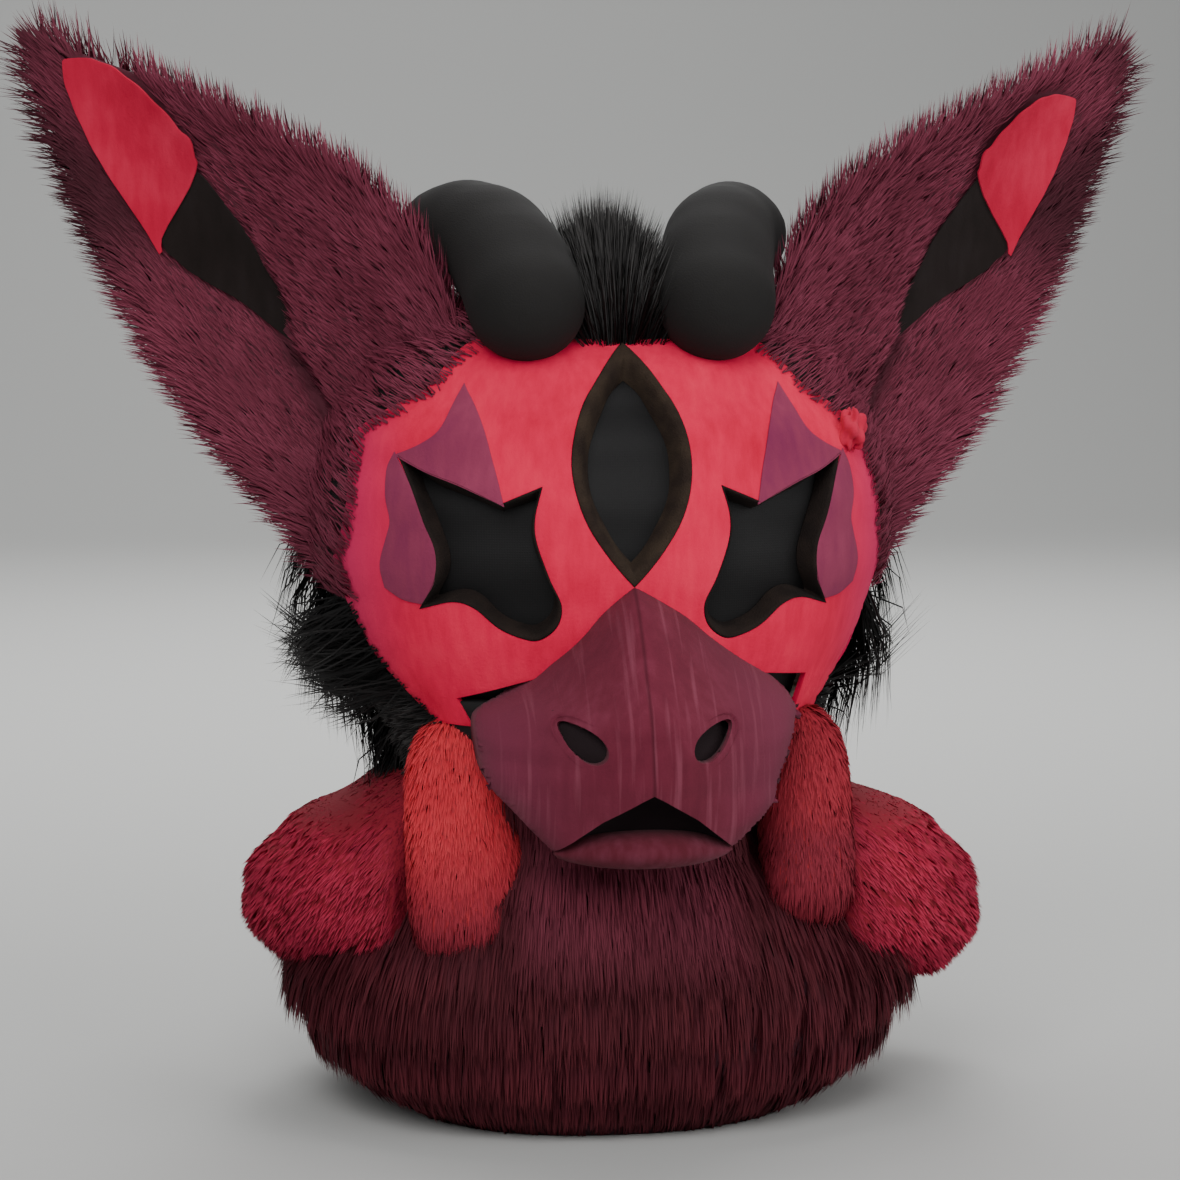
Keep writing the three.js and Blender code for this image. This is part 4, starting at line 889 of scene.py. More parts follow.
def face_cover():
    """The fleece over the foam, with its openings, and the four inlays on it."""
    holes = [eye_edge, flipped(eye_edge), brow_edge, slot_right, slot_left]
    made = sheet(face_edge, holes, out=COVER_WALL + 0.3, cell=6)
    piece = put("fleece_face_cover", made, CORAL, replaces=["face_cover"], slot="coral_felt")
    cloth(piece, COVER_WALL, 0.9)
    for name, rows in (("upper_marking", UPPER_MARKING), ("side_marking", SIDE_MARKING)):
        edge = shrunk(outline(rows, eye_place), -0.5)
        inlay = sheet(edge, out=COVER_WALL + 0.9)
        for mark in pair(f"fleece_{name}", inlay, MAUVE_MARK, [name], slot="mauve_felt"):
            cloth(mark, 0.9, 0.35)


def rim(name, edge, width, nodes, sides):
    """A cut foam rim: it stands a little proud of the cover and slopes in to the mesh."""
    steps = ((-0.2, -2), (0.2, COVER_WALL + 0.6), (1.0, COVER_WALL + 1.0), (width * 0.55, COVER_WALL - 1.5),
             (width, -EYE_RECESS + 0.5))
    rings = [[face_spot(p.x, p.y, out) for p in shrunk(edge, inward)] for inward, out in steps]
    made = loops(rings)
    if sides:
        return pair(name, made, EYE_RIM_FOAM, nodes, slot="dark_rim", padded=1.0)
    return [put(name, made, RIM, replaces=nodes, slot="dark_rim", padded=1.0)]


def eyes():
    """The rims of the three eyes, and the mesh behind them and behind the slots."""
    rim("foam_eye_rim", eye_edge, EYE_RIM, ["eye_rim"], True)
    rim("foam_brow_rim", brow_edge, BROW_RIM, ["brow_rim"], False)
    behind = sheet(shrunk(eye_edge, -6), out=-EYE_RECESS)
    for piece in pair("woven_eye_mesh", behind, MESH, ["eye_mesh"], slot="eye_mesh"):
        cloth(piece, 1.0)
    brow = put("woven_brow_mesh", sheet(shrunk(brow_edge, -6), out=-EYE_RECESS), MESH,
               replaces=["brow_mesh"], slot="eye_mesh")
    cloth(brow, 1.0)
    for side, edge in (("right", slot_right), ("left", slot_left)):
        piece = put(f"woven_slot_mesh_{side}", sheet(shrunk(edge, -5), out=-SLOT_RECESS), MESH,
                    replaces=[f"cheek_slot_mesh_{side}"], slot="eye_mesh")
        cloth(piece, 1.0)


def knot():
    """A small knot in the cover's cloth, at its corner below the right ear."""
    middle = np.array(face_spot(KNOT_X, KNOT_Z, COVER_WALL + 4))

    def lump(u, v):
        turn, rise = u * 2 * math.pi, (v - 0.5) * math.pi
        folds = 1 + 0.2 * np.sin(3 * turn + 4 * rise) + 0.12 * np.sin(7 * turn - 3 * rise)
        round_at = np.stack(
            [np.cos(turn) * np.cos(rise), np.sin(turn) * np.cos(rise), 1.25 * np.sin(rise)], axis=-1)
        return middle + round_at * (KNOT_RADIUS * np.where(np.cos(rise) < 0.02, 1, folds))[..., None]

    made = skin(lump, 40, 28)
    bmesh.ops.recalc_face_normals(made, faces=made.faces)
    put("fleece_knot", made, RED_PATCH, slot="coral_felt", padded=1.0)


# Muzzle and mouth
def muzzle_outline():
    """Down the right side to the mouth's corner, over the arch and up the left side."""
    arch = [
        Vector((across * MOUTH_HALF_WIDTH, MOUTH_CORNER_Z - 6 + up * (MOUTH_RISE + 6)))
        for across, up in MOUTH_ARCH[1:]
    ]
    halves = []
    for number in (1, 2):
        side = [(row[number], row[0]) for row in MUZZLE_ROWS]
        side[0] = (0.0, 0.0, "corner")
        side[-1] = (*side[-1], "corner")
        points = outline(side + [(0.0, 1.0, "corner")], muzzle_place)
        low = next(i for i, p in enumerate(points) if p.y <= MUZZLE_TOP - MUZZLE_HEIGHT + 0.01)
        halves.append(points[: low + 1] + arch)
    right, left = halves
    return right + [Vector((-p.x, p.y)) for p in reversed(left[1:-1])]


def nostril_outline():
    """A leaning drop, its narrow end up and out."""
    points = []
    for i in range(24):
        turn = i / 24 * 2 * math.pi
        across = 12.5 * math.cos(turn)
        up = 6.4 * math.sin(turn) * (1 - 0.3 * math.cos(turn))
        c, s = math.cos(0.66), math.sin(0.66)
        points.append(Vector((NOSTRIL_X + across * c - up * s, NOSTRIL_Z + across * s + up * c)))
    return points


def rounded_muzzle_spot(edge):
    """The muzzle's front with a soft turn towards its sides, but none along the mouth."""
    rim = [p for p in edge if abs(p.x) > MOUTH_HALF_WIDTH - 4 or p.y > MOUTH_CORNER_Z + MOUTH_RISE + 8]

    def spot(x, z, out):
        flat = muzzle_spot(x, z, out)
        near = min((Vector((x, z)) - p).length for p in rim)
        short = max(0.0, 1 - near / MUZZLE_ROUND)
        flat.y += MUZZLE_ROUND * (1 - math.sqrt(1 - min(short, 1) ** 2))
        return flat

    return spot


def muzzle():
    nostril = nostril_outline()
    edge = muzzle_outline()
    made = sheet(edge, [nostril, flipped(nostril)], spot=rounded_muzzle_spot(edge), cell=2.5)
    rims = [edge for edge in made.edges if edge.is_boundary]
    walls = bmesh.ops.extrude_edge_only(made, edges=rims)["geom"]
    for vert in (g for g in walls if isinstance(g, bmesh.types.BMVert)):
        at_nostril = abs(abs(vert.co.x) - NOSTRIL_X) < 14 and abs(vert.co.z - NOSTRIL_Z) < 12
        if at_nostril:
            vert.co.y += NOSTRIL_DEPTH
        elif vert.co.z > 190:
            vert.co.y = max(vert.co.y + 4, face_spot(vert.co.x, vert.co.z, COVER_WALL).y)
        else:
            vert.co.y += MUZZLE_SIDE_DEPTH
    bmesh.ops.recalc_face_normals(made, faces=made.faces)
    bevelled = [e for e in made.edges if e.is_manifold and e.calc_face_angle() > math.radians(55)]
    bmesh.ops.bevel(made, geom=bevelled, offset=1.2, segments=2, profile=0.5, affect="EDGES",
                    material=-1, clamp_overlap=True)
    piece = put("fleece_muzzle", made, MAUVE, replaces=["muzzle_cover"], slot="mauve_felt", padded=0.9)
    wall(piece, 3)
    # Dark sheets a little behind the nostrils: painted shade standing in for the shade inside them.
    behind = sheet(shrunk(nostril, -3), spot=muzzle_spot, out=-9)
    other = mirror_copy(behind)
    for side, shade_sheet in (("right", behind), ("left", other)):
        inner = put(f"nostril_shade_sheet_{side}", shade_sheet, LINING_AND_NOSTRIL_SHADE, slot="mouth_cloth")
        cloth(inner, 0.8)


def jaw_form(u, v):
    """The lower lip: a crescent pad, thin at the mouth's corners."""
    across = (u - 0.5) * 2
    full = np.sqrt(np.clip(1 - across**2, 0, 1))
    turn = v * 2 * math.pi
    middle = LIP_CORNER_Z + 2.5 * (1 - across**2)
    half = LIP_HEIGHT / 2 * full
    depth = 15 * full ** 0.5
    reach = JAW_REACH * (1 - 0.13 * np.abs(across) ** 2.2) - depth
    return np.stack([
        across * MOUTH_HALF_WIDTH,
        -reach - depth * np.cos(turn),
        middle + half * np.sin(turn),
    ], axis=-1)


def mouth():
    made = skin(jaw_form, 36, 28)
    bmesh.ops.recalc_face_normals(made, faces=made.faces)
    put("fleece_lower_lip", made, LIP, replaces=["lower_jaw"], slot="mauve_felt", padded=0.8)
    edge = [Vector(place) for place in LINING_EDGE]
    lining = sheet(edge, spot=lambda x, z, out: Vector((x, LINING_Y, z)), cell=6)
    cloth(put("mouth_lining_sheet", lining, LINING_AND_NOSTRIL_SHADE, replaces=["mouth_lining"], slot="mouth_cloth"),
          1.0)


# Ears
ear_axis = np.array([EAR_LEAN_OUT, EAR_LEAN_BACK, math.sqrt(1 - EAR_LEAN_OUT**2 - EAR_LEAN_BACK**2)])
ear_flat = -unit(np.cross([0, 1, 0], ear_axis))
ear_face = unit(np.cross(ear_flat, ear_axis))
ear_face = -ear_face if ear_face[1] > 0 else ear_face
ear_across = ear_flat * math.cos(EAR_TURN_OUT) + ear_face * math.sin(EAR_TURN_OUT)
ear_normal = ear_face * math.cos(EAR_TURN_OUT) - ear_flat * math.sin(EAR_TURN_OUT)
ear_base = np.array([0.678 * HEAD["width"], -0.29 * HEAD["front"], HEAD["low"] + 0.687 * HEAD["height"]])
ear_medial, ear_lateral = column(EAR_ROWS, 1), column(EAR_ROWS, 2)
ear_crease = column(EAR_CREASE, 1)


def ear_reach(along, toward):
    """The ear's width at a level, towards the crown where toward is positive and outwards elsewhere."""
    return np.where(
        toward > 0, ear_medial(along) * EAR_MEDIAL_WIDTH, ear_lateral(along) * EAR_LATERAL_WIDTH)


def ear_share(along, across):
    """How far a spot lies from the ear's axis towards its edge."""
    return across / np.maximum(ear_reach(along, across), 1)


def ear_spot(along, across, deep):
    """A spot on the ear: along it, a distance across it, and a depth in front of its middle sheet."""
    share = np.clip(ear_share(along, across), -1, 1)
    cup = EAR_CUP * (1 - share**2) * np.sin(math.pi * np.clip(along + 0.12, 0, 1) ** 0.8)
    rise = smoothstep(across - ear_crease(along), 0, 5) * (1 - smoothstep(share, 0.6, 1))
    flap = EAR_FLAP * rise * (1 - smoothstep(along, 0.3, 0.55)) * smoothstep(deep, -1, 3)
    lift = deep + flap - cup
    return (
        ear_base + np.multiply.outer(along * EAR_LENGTH, ear_axis)
        + np.multiply.outer(across, ear_across) + np.multiply.outer(lift, ear_normal)
    )


def ear_shares(u, v):
    """Where a turn round the ear's edge-on section lies: along it, across it and its depth."""
    first, last = EAR_ROWS[0][0], EAR_ROWS[-1][0]
    along = first + v * (last - first)
    turn = u * 2 * math.pi
    c, s = np.cos(turn), np.sin(turn)
    reach = ear_reach(along, c)
    share = np.sign(c) * np.abs(c) ** 0.8
    half = EAR_WALL / 2 * np.minimum(1, 0.25 + ear_medial(along))
    return along, share * reach, np.sign(s) * np.abs(s) ** 0.9 * half


def ear_form(u, v):
    return ear_spot(*ear_shares(u, v))


def in_patch(rows, along, across):
    """Where the front of the ear is covered by a patch instead of fur."""
    low, high = column(rows, 1), column(rows, 2)
    level = (along > rows[0][0]) & (along < rows[-1][0])
    shift = across / EAR_MEDIAL_WIDTH
    return level & (shift > low(along) - 0.01) & (shift < high(along) + 0.01)


def tip_patch_rows(side):
    """The tip patch's rows: the one on the right was cut shorter."""
    first = TIP_PATCH[0][0]
    return [(first + (row[0] - first) * TIP_PATCH_SHARE[side], row[1], row[2]) for row in TIP_PATCH]


def ear_fur_density(u, v, tip):
    along, across, deep = ear_shares(u, v)
    bare = (deep > 0) & (in_patch(tip, along, across) | in_patch(BLACK_PATCH, along, across))
    return np.where(bare, 0.0, np.where(deep > 0, 1.0, 0.55)) * np.where(along < -0.06, 0.3, 1)


def ear_fur_lay(u, v):
    along, across, _ = ear_shares(u, v)
    share = ear_share(along, across)
    return ear_axis + np.multiply.outer(share ** 5 * 0.7 - 0.1 * share, ear_across)


def ear_fur_length(u, v):
    along, across, _ = ear_shares(u, v)
    edge = np.clip(np.abs(ear_share(along, across)), 0, 1) ** 4
    return EAR_FUR_LENGTH + EAR_EDGE_EXTRA * edge + EAR_TIP_EXTRA * smoothstep(along, 0.75, 0.98)


def ear_fur_lift(u, v):
    """The fur lies flat on the ear's faces and stands out along its edges."""
    along, across, _ = ear_shares(u, v)
    return 0.2 + 0.25 * np.clip(np.abs(ear_share(along, across)), 0, 1) ** 4


def ear_fur_shade(u, v):
    """Darker fur at the ear's tip and along the outer edge beside the red patch, with painted shadow just
    outside the crease where the crown-side flap overlaps, lessened by a painted highlight along the flap's
    edge.
    """
    along, across, deep = ear_shares(u, v)
    tip = smoothstep(along, 0.84, 1.0) * 0.6
    edge = smoothstep(-across, 4, 26) * smoothstep(along, 0.5, 0.68)
    off = across - ear_crease(along)
    # Painted shadow just outside the crease where the flap overlaps, and a painted highlight along the
    # flap's edge.
    flap_crease_shadow = np.exp(-((off + 3) / 6) ** 2) * (1 - smoothstep(along, 0.3, 0.45)) * (deep > 0) * 0.7
    light = np.exp(-((off - 6) / 4) ** 2) * (1 - smoothstep(along, 0.3, 0.5)) * (deep > 0) * 0.25
    return np.clip(tip + edge * 0.75 + flap_crease_shadow - light, -0.4, 1)


def patch(rows, lift):
    """A patch of short fleece laid on the front of the ear, the tip's over the black one."""
    low, high = column(rows, 1), column(rows, 2)

    def form(u, v):
        along = rows[0][0] + v * (rows[-1][0] - rows[0][0])
        across = (low(along) * (1 - u) + high(along) * u) * EAR_MEDIAL_WIDTH
        return ear_spot(along, across, np.full_like(along, EAR_WALL / 2 + lift))

    return skin(form, 24, 40, closed=False)


def ears():
    made = skin(ear_form, 48, 60)
    bmesh.ops.recalc_face_normals(made, faces=made.faces)
    pair("ear_backing", made, knit("ear_backing_cloth", "#54202e"), ["ear"], slot="ear_fur", padded=0.7)
    for side, sign, seed in (("right", 1, 11), ("left", -1, 12)):
        tip = tip_patch_rows(side)
        for name, rows, lift, finish, slot in (
            ("ear_tip_patch", tip, 3.2, RED_PATCH, "coral_felt"),
            ("ear_black_patch", BLACK_PATCH, 1.8, BLACK_PATCH_CLOTH, "horn_cloth"),
        ):
            cut = patch(rows, lift) if sign > 0 else mirror_copy(patch(rows, lift))
            piece = put(f"fleece_{name}_{side}", cut, finish, replaces=[f"{name}_{side}"], slot=slot)
            cloth(piece, 1.2, 0.5)
        u, v = scattered(ear_form, fibres("ear"), seed, lambda u, v, spots: ear_fur_density(u, v, tip))
        roots, normals = ear_form(u, v), normals_of(ear_form, u, v)[0]
        lay = unit(ear_fur_lay(u, v))
        flip = np.array([sign, 1.0, 1.0])
        strands(f"ear_fur_{side}", roots * flip, normals * flip, lay * flip, ear_fur_length(u, v),
                EAR_FUR, width=0.85, lift=ear_fur_lift(u, v), levels=3, seed=seed, clump=0.14, clump_size=6,
                shade=ear_fur_shade(u, v), slot="ear_fur")


# Horns and hair
def horn_form(u, v):
    """A stuffed tube along the horn's path, closed softly at both ends."""
    rows = np.array(HORN_PATH, float)
    places = np.concatenate([[0], np.cumsum(np.linalg.norm(np.diff(rows[:, :3], axis=0), axis=1))])
    table = [(place / places[-1], *row) for place, row in zip(places, rows)]
    shares = 0.5 - 0.5 * np.cos(v * math.pi)
    centre = np.stack([column(table, k)(shares) for k in (1, 2, 3)], axis=-1)
    ahead = np.stack([column(table, k)(np.clip(shares + 0.01, 0, 1)) for k in (1, 2, 3)], axis=-1)
    behind = np.stack([column(table, k)(np.clip(shares - 0.01, 0, 1)) for k in (1, 2, 3)], axis=-1)
    along = unit(ahead - behind)
    side = unit(np.cross([0, 0, 1.0], along))
    top = np.cross(along, side)
    nearest = np.minimum(shares, 1 - shares) * places[-1] / HORN_RADIUS
    ends = np.sqrt(np.clip(1 - (1 - np.clip(nearest, 0, 1)) ** 2, 0, 1))
    full = column(table, 4)(shares)
    radius = (full * HORN_RADIUS * ends)[..., None]
    turn = (u * 2 * math.pi)[..., None]
    return centre + (side * np.cos(turn) + top * np.sin(turn)) * radius


def horns():
    made = stuffed(skin(horn_form, 48, 44), voxel=4, reach=3)
    bmesh.ops.recalc_face_normals(made, faces=made.faces)
    pair("stuffed_horn", made, HORN_CLOTH, ["horn"], slot="horn_cloth", padded=0.9)


def hair():
    """The tuft between the horns: long fibres from a narrow strip over the forehead and crown."""
    count = fibres("hair")
    rng = np.random.default_rng(31)
    along = rng.random(count)
    y = -80 + along * 92
    x = rng.normal(0, 0.42, count).clip(-1, 1) * HAIR_HALF_WIDTH * 0.85
    z = np.array([head_top(x_, y_) for x_, y_ in zip(x, y)])
    roots = np.stack([x, y, z], axis=-1)
    fan = np.stack([x / HAIR_HALF_WIDTH * 0.75, -0.35 + along * 0.6, np.ones(count)], axis=-1)
    length = HAIR_HEIGHT * rng.uniform(0.45, 1.0, count) * (1 - 0.35 * np.abs(x / HAIR_HALF_WIDTH))
    outward = unit(fan + rng.normal(0, 0.1, (count, 3)))
    strands("hair_tuft_fur", roots, outward, unit(fan), length, BLACK_FUR, width=0.65, lift=0.3, wander=0.2,
            clump=0.3, clump_size=7, seed=32, slot="black_fur", replaces=["hair_tuft"])


def head_top(x, y):
    """The height of the foam head's crown over a place."""
    low, high = HEAD["low"] + HEAD["height"] * 0.6, HEAD["low"] + HEAD["height"]
    for _ in range(14):
        z = (low + high) / 2
        up = (z - HEAD["low"]) / HEAD["height"]
        reach = column(HEAD_ROWS, 2 if y < 0 else 3)(up) * HEAD["front" if y < 0 else "back"]
        width = head_width(up) * HEAD["width"]
        share = (abs(x) / max(width, 1)) ** ROUNDNESS + (abs(y) / max(reach, 1)) ** ROUNDNESS
        low, high = (z, high) if share < 1 else (low, z)
    return low


# Hood and neck fur
def face_share(spots, margin=0.0):
    """Which places lie under the face cover, or within a margin of its edge."""
    return inside(shrunk(face_edge, -margin), spots[:, 0], spots[:, 2]) & (spots[:, 1] < 0)


def hood_density(u, v, spots, margin=0.0):
    low = spots[:, 2] < 152
    chin = (np.abs(spots[:, 0]) < 66) & (spots[:, 2] < FACE_LOW + 4) & (spots[:, 1] < 0)
    return np.where(face_share(spots, margin) | low | chin, 0.0, 1.0)


def at_ear_foot(spots):
    """The places on the head round the foot of an ear, which its wine fur covers."""
    return (spots[:, 2] > 266) & (spots[:, 1] < 18) & (np.abs(spots[:, 0]) > 62)


def over_stripe(spots):
    """The places under the face's lower edge, where the fur is clipped short over the red lobes."""
    return (np.abs(spots[:, 0]) < 116) & (spots[:, 2] < FACE_LOW + 8) & (spots[:, 1] < -10)


def black_hood_density(u, v, spots):
    hairline = face_share(spots, 4) & (spots[:, 2] > 300)
    by_muzzle = (np.abs(spots[:, 0]) < 88) & over_stripe(spots)
    bare = at_ear_foot(spots) | face_share(spots, 0.5) | hairline | by_muzzle
    return hood_density(u, v, spots) * np.where(bare, 0.0, 1.0)


def foot_density(u, v, spots):
    return np.where(at_ear_foot(spots) & ~face_share(spots, -2.5), 1.0, 0.0)


def foot_lay(u, v, spots, normals):
    return np.stack([np.sign(spots[:, 0]) * 0.8, np.full(len(u), 0.2), np.full(len(u), 0.6)], axis=-1)


def hood_lay(u, v, spots, normals):
    side = np.sign(spots[:, 0])
    cheek = smoothstep(-spots[:, 1], -75, 20) * (1 - smoothstep(spots[:, 2], 275, 340))
    lay = np.zeros_like(spots)
    lay[:, 2] = -1
    lay[:, 0] = side * 2.2 * cheek
    lay[:, 1] = 0.35 * (1 - cheek)
    brow = smoothstep(spots[:, 2], 340, 366) * smoothstep(-spots[:, 1], -20, 20)
    lay[:, 2] = lay[:, 2] * (1 - brow) + brow * 0.7
    lay[:, 1] = lay[:, 1] * (1 - brow) + brow * 0.8
    return lay


def hood():
    """Black fur from the face's edge round the back, long on the cheeks."""
    shell = raised(head_form, BACKING_WALL)
    made = skin(raised(head_form, HOOD_UNDER), 104, 64)
    spots = np.array([v.co for v in made.verts])
    under_brow = face_share(spots, -2) & (spots[:, 2] > 330)
    keep = (hood_density(None, None, spots, -10) > 0) & ~under_brow
    bmesh.ops.delete(made, geom=[v for v, kept in zip(made.verts[:], keep) if not kept], context="VERTS")
    backing = put("hood_backing", made, knit("black_backing_cloth", "#191818"), replaces=["hood_fur"],
                  slot="black_fur")
    cloth(backing, BACKING_WALL)

    def length(u, v, spots):
        cheek = smoothstep(-spots[:, 1], -70, 0) * (1 - smoothstep(spots[:, 2], 285, 325))
        long = HOOD_LENGTH + (CHEEK_EXTRA + RIGHT_CHEEK_EXTRA * (spots[:, 0] > 0)) * cheek
        return np.where(over_stripe(spots), CLIPPED_LENGTH, long)

    coat("hood_pile", shell, "hood", hood_lay, length, BLACK_FUR, seed=41, density=black_hood_density,
         width=1.0, lift=0.5, levels=3, clump=0.4, clump_size=8, wander=0.22, slot="black_fur")
    coat("ear_foot_pile", shell, "ear_foot", foot_lay, EAR_FOOT_LENGTH, EAR_FUR, seed=42,
         density=foot_density, width=0.9, lift=0.4, levels=3, clump=0.3, clump_size=5, slot="ear_fur")


def down(u, v, spots, normals):
    return np.broadcast_to(np.array([0.0, 0.0, -1.0]), spots.shape)


def skirt_form(u, v):
    """The neck's form up to its own height, without what runs on under the head."""
    return neck_form(u, v * (1.0 / NECK_ROWS[-1][0]))


def skirt():
    """The flared skirt of neck fur that the head stands on."""
    made = skin(skirt_form, 96, 36)
    backing = put("skirt_backing", made, knit("maroon_backing_cloth", "#3a1220"), replaces=["chest_fur"],
                  slot="chest_fur")
    cloth(backing, 5)

    def chest_density(u, v, spots):
        return np.where(spots[:, 2] < 22, 0.35, 1.0) * np.where(spots[:, 1] > 60, 0.6, 1.0)

    def chest_length(u, v, spots):
        return CHEST_LENGTH + CHEST_TOP_EXTRA * smoothstep(spots[:, 2], 0, 90)

    coat("chest_pile", skirt_form, "chest", down, chest_length, CHEST_FUR, seed=51, density=chest_density,
         width=1.5, lift=0.13, levels=3, clump=0.08, clump_size=8, wander=0.06, hug=0.2, slot="chest_fur")


def throat_form(u, v):
    """A pad of fur laid on the front of the neck, under the lip."""
    x = (u - 0.5) * 2 * THROAT_HALF_WIDTH
    z = THROAT_HEM + v * THROAT_HEIGHT
    up = z / NECK["height"]
    share = np.clip(np.abs(x) / (column(NECK_ROWS, 1)(up) * NECK["width"]), 0, 0.995)
    y = -(1 - share**ROUNDNESS) ** (1 / ROUNDNESS) * column(NECK_ROWS, 2)(up) * NECK["front"]
    return np.stack([x, y - 4, z], axis=-1)


def throat():
    """Lighter fur between the stripes, which darkens towards its hem and its sides."""
    def throat_shade(spots):
        return np.maximum(1 - smoothstep(spots[:, 2], 90, 136), smoothstep(np.abs(spots[:, 0]), 36, 60))

    made = skin(throat_form, 30, 24, closed=False)
    backing = put("throat_backing", made, knit("mauve_backing_cloth", "#4a1d2a"), replaces=["throat_fur"],
                  slot="throat_fur")
    cloth(backing, 3)
    coat("throat_pile", throat_form, "throat", down, THROAT_LENGTH, THROAT_FUR, seed=52, width=1.2,
         lift=0.16, levels=3, clump=0.08, clump_size=8, wander=0.07, shade=throat_shade,
         density=lambda u, v, spots: 0.1 + smoothstep(spots[:, 2], 90, 124), slot="throat_fur")


def stripes():
    """The two red lobes under the face, the one on the right cut narrower."""
    for side, sign in (("right", 1), ("left", -1)):
        def stripe_form(u, v, sign=sign, side=side):
            """A stuffed lobe that hangs from under the face in front of the shoulder."""
            turn = u * 2 * math.pi
            c, s = np.cos(turn), np.sin(turn)
            ends = np.sqrt(np.clip(1 - np.abs(2 * v - 1) ** 4, 0, 1))
            x = STRIPE_X[side] + STRIPE_WIDTH[side] / 2 * np.sign(c) * np.abs(c) ** 0.8 * ends
            z = STRIPE_HEM[side] + v * (STRIPE_TOP - STRIPE_HEM[side])
            back = (STRIPE_FRONT - STRIPE_BACK) * smoothstep(z, 96, STRIPE_TOP + 30)
            lean = STRIPE_FRONT - back - 10 * (1 - smoothstep(v, 0, 0.22))
            y = -lean + STRIPE_DEPTH / 2 * (1 + np.sign(s) * np.abs(s) ** 0.9 * ends)
            return np.stack([sign * x, y, z], axis=-1)

        def stripe_shade(spots):
            return np.clip(1 - smoothstep(spots[:, 2], 96, 176) + STRIPE_SHADE[side], 0, 1)

        def stripe_length(u, v, spots):
            hem = STRIPE_HEM[side]
            return STRIPE_LENGTH + STRIPE_HEM_EXTRA * (1 - smoothstep(spots[:, 2], hem + 4, hem + 34))

        def front_only(u, v, spots):
            return np.where(u * (1 - u) < 0.06, 1.0, np.where(u > 0.5, 1.0, 0.25))

        made = skin(stripe_form, 36, 26)
        bmesh.ops.recalc_face_normals(made, faces=made.faces)
        put(f"stripe_backing_{side}", made, knit(f"stripe_backing_cloth_{side}", "#b8323c"),
            replaces=[f"neck_stripe_{side}"], slot="red_fur", padded=0.8)
        coat(f"stripe_pile_{side}", stripe_form, "stripe", down, stripe_length, STRIPE_FUR, seed=53 + sign,
             width=0.9, lift=0.18, levels=3, clump=0.12, clump_size=6, wander=0.1, density=front_only,
             flip=sign < 0, shade=stripe_shade, slot="red_fur")


def shoulder_form(u, v, cut="left"):
    """A puffy lobe, round on its outer side and soft at its top and hem, larger on the right."""
    side, deep = column(SHOULDER_ROWS, 1), column(SHOULDER_ROWS, 2)
    rise, inner = -np.cos(v * math.pi), np.clip(np.sin(v * math.pi), 0, 1) ** (2 / SHOULDER_SOFTNESS)
    level = 0.5 + 0.5 * np.sign(rise) * np.abs(rise) ** (2 / SHOULDER_SOFTNESS)
    turn = (u - 0.5) * math.pi
    reach = (side(level) * SHOULDER_HALF_WIDTH * SHOULDER_SPREAD[cut] - SHOULDER_ROOT_X) * inner
    depth = deep(level) * SHOULDER_HALF_DEPTH * inner
    c, s = np.cos(turn), np.sin(turn)
    x = SHOULDER_ROOT_X + reach * np.abs(c) ** 0.85 - 20 * (1 - inner)
    behind_stripe = np.where(s < 0, 0.66 + 0.34 * smoothstep(x, 86, 124), 1.0)
    fold = 2.5 * np.sin(x * 0.16 + level * 5) * smoothstep(x, 110, 150) * inner
    hang = (SHOULDER_HANG[cut] * smoothstep(x, 130, 182) + SHOULDER_DROP[cut]) * (1 - level)
    climb = 14 * (1 - smoothstep(x, 96, 138)) * smoothstep(level, 0.3, 1.0)
    z = SHOULDER_HEM + level * SHOULDER_HEIGHT - hang + climb
    return np.stack([x, (depth + fold) * s * behind_stripe, z], axis=-1)


def shoulders():
    backing = knit("crimson_backing_cloth", "#8e1a2c")
    for side, sign, seed in (("right", 1, 61), ("left", -1, 62)):
        def lobe(u, v, side=side):
            return shoulder_form(u, v, side)

        made = skin(lobe, 48, 40)
        bmesh.ops.recalc_face_normals(made, faces=made.faces)
        put(f"shoulder_backing_{side}", made if sign > 0 else mirror_copy(made), backing,
            replaces=[f"shoulder_fur_{side}"], slot="red_fur", padded=0.7)
        u, v = scattered(
            lobe, fibres("shoulder"), seed, lambda u, v, spots: 0.05 + smoothstep(spots[:, 0], 78, 96))
        roots, normals = lobe(u, v), normals_of(lobe, u, v)[0]
        flip = np.array([sign, 1.0, 1.0])
        lay = unit(np.zeros_like(roots) + SHOULDER_LAY)
        length = np.full(len(u), SHOULDER_LENGTH)
        # Painted shade: fibres nearer the neck take the deep colour, where the lobe's inner end tucks
        # behind the stripe.
        strands(f"shoulder_pile_{side}", roots * flip, normals * flip, lay * flip, length, RED_FUR,
                width=0.9, lift=0.2, levels=3, seed=seed, clump=0.12, clump_size=6,
                shade=1 - smoothstep(roots[:, 0], 88, 140), slot="red_fur")


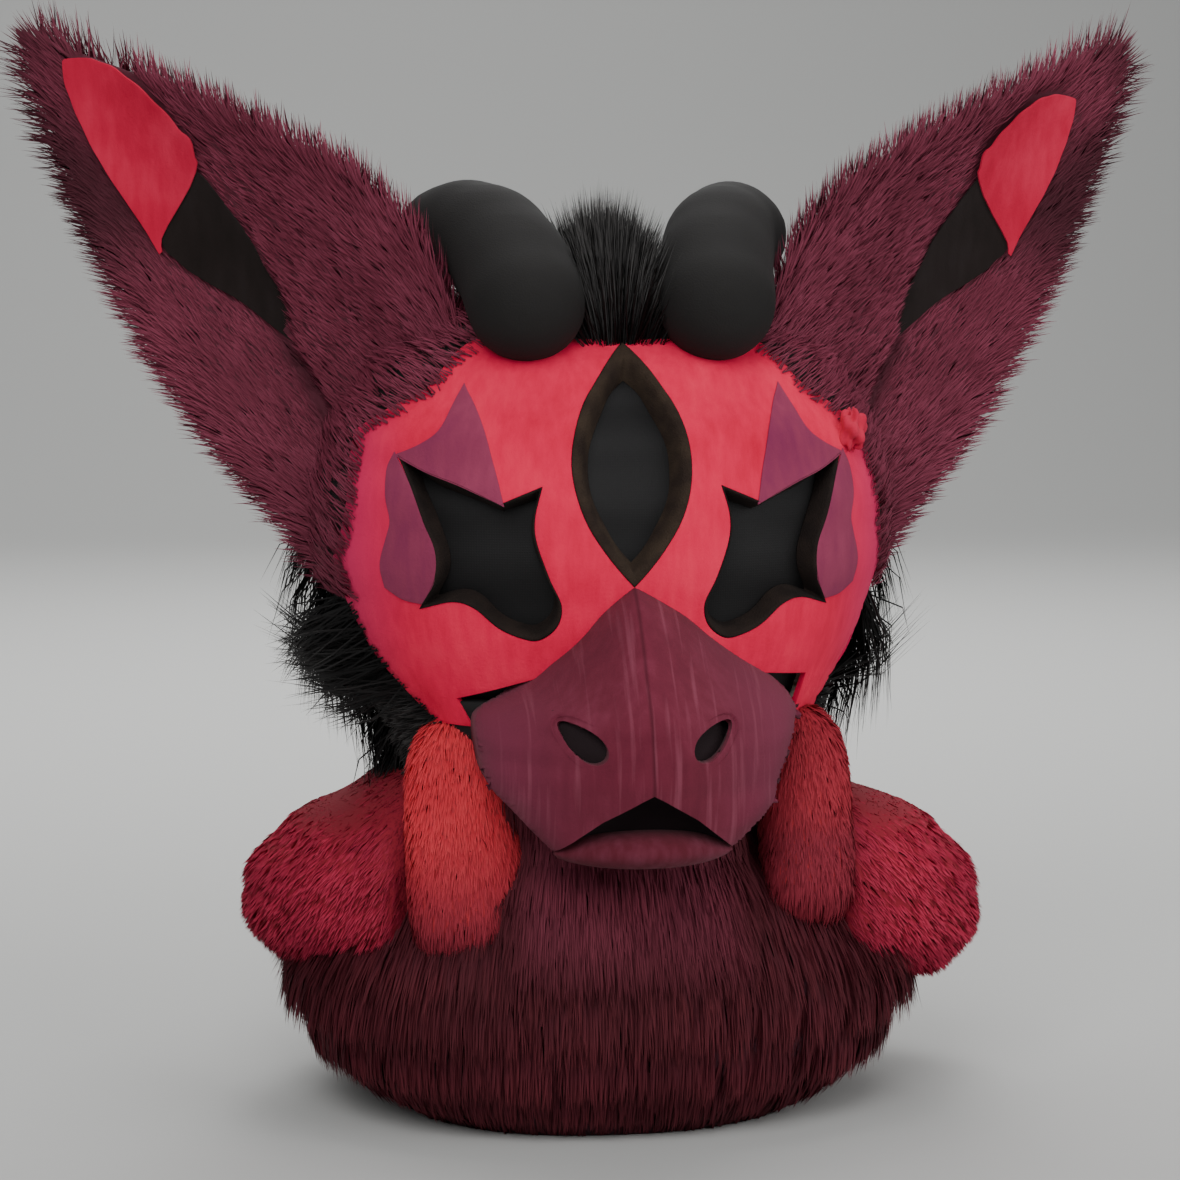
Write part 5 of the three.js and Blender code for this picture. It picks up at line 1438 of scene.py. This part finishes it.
# Stage
def floor_and_wall():
    """A pale floor that runs up into a far plain wall."""
    made = bmesh.new()
    bmesh.ops.create_grid(made, x_segments=2, y_segments=90, size=FLOOR_HALF)
    for vert in made.verts:
        bend = max(0.0, vert.co.y - WALL_Y)
        if bend > 0:
            turn = min(bend / WALL_BEND, math.pi / 2)
            vert.co.y = WALL_Y + WALL_BEND * math.sin(turn)
            vert.co.z = WALL_BEND * (1 - math.cos(turn)) + max(0.0, bend - WALL_BEND * math.pi / 2)
    data = bpy.data.meshes.new("studio_floor")
    made.to_mesh(data)
    made.free()
    data.shade_smooth()
    paper, _, shader = material("pale_paper_floor")
    shader.inputs["Base Color"].default_value = colour("#b9b9b7")
    shader.inputs["Roughness"].default_value = 0.9
    data.materials.append(paper)
    floor = bpy.data.objects.new("studio_floor", data)
    bpy.context.scene.collection.objects.link(floor)


def lamps():
    """Soft square lamps, and a pale room round them."""
    for name, place, aim, size, power in LAMPS:
        lamp = bpy.data.lights.new(name, "AREA")
        lamp.size = size
        lamp.energy = power
        holder = bpy.data.objects.new(name, lamp)
        holder.location = place
        holder.visible_camera = False
        holder.rotation_euler = (Vector(aim) - Vector(place)).to_track_quat("-Z", "Y").to_euler()
        bpy.context.scene.collection.objects.link(holder)
    world = bpy.data.worlds.new("soft_room")
    bpy.context.scene.world = world
    world.use_nodes = True
    world.node_tree.nodes["Background"].inputs["Color"].default_value = colour("#c8cacc")
    world.node_tree.nodes["Background"].inputs["Strength"].default_value = 0.45


def viewpoint():
    """The photograph's view: a little from the left and from above."""
    target = Vector((-13, -60 + CENTRE_Y, 270.4)) * MM
    lens = bpy.data.cameras.new("photo_view")
    lens.sensor_width = FILM_WIDTH
    lens.lens = FILM_WIDTH * VIEW_DISTANCE / VIEW_WIDTH
    lens.clip_start = 0.05
    viewer = bpy.data.objects.new("photo_view", lens)
    away = Vector((
        math.sin(VIEW_AZIMUTH) * math.cos(VIEW_ELEVATION),
        -math.cos(VIEW_AZIMUTH) * math.cos(VIEW_ELEVATION),
        math.sin(VIEW_ELEVATION),
    ))
    viewer.location = target + away * VIEW_DISTANCE
    viewer.rotation_euler = (-away).to_track_quat("-Z", "Y").to_euler()
    bpy.context.scene.collection.objects.link(viewer)
    bpy.context.scene.camera = viewer


foam_head()
face_cover()
knot()
eyes()
muzzle()
mouth()
ears()
horns()
hair()
hood()
skirt()
throat()
stripes()
shoulders()
floor_and_wall()
lamps()
viewpoint()
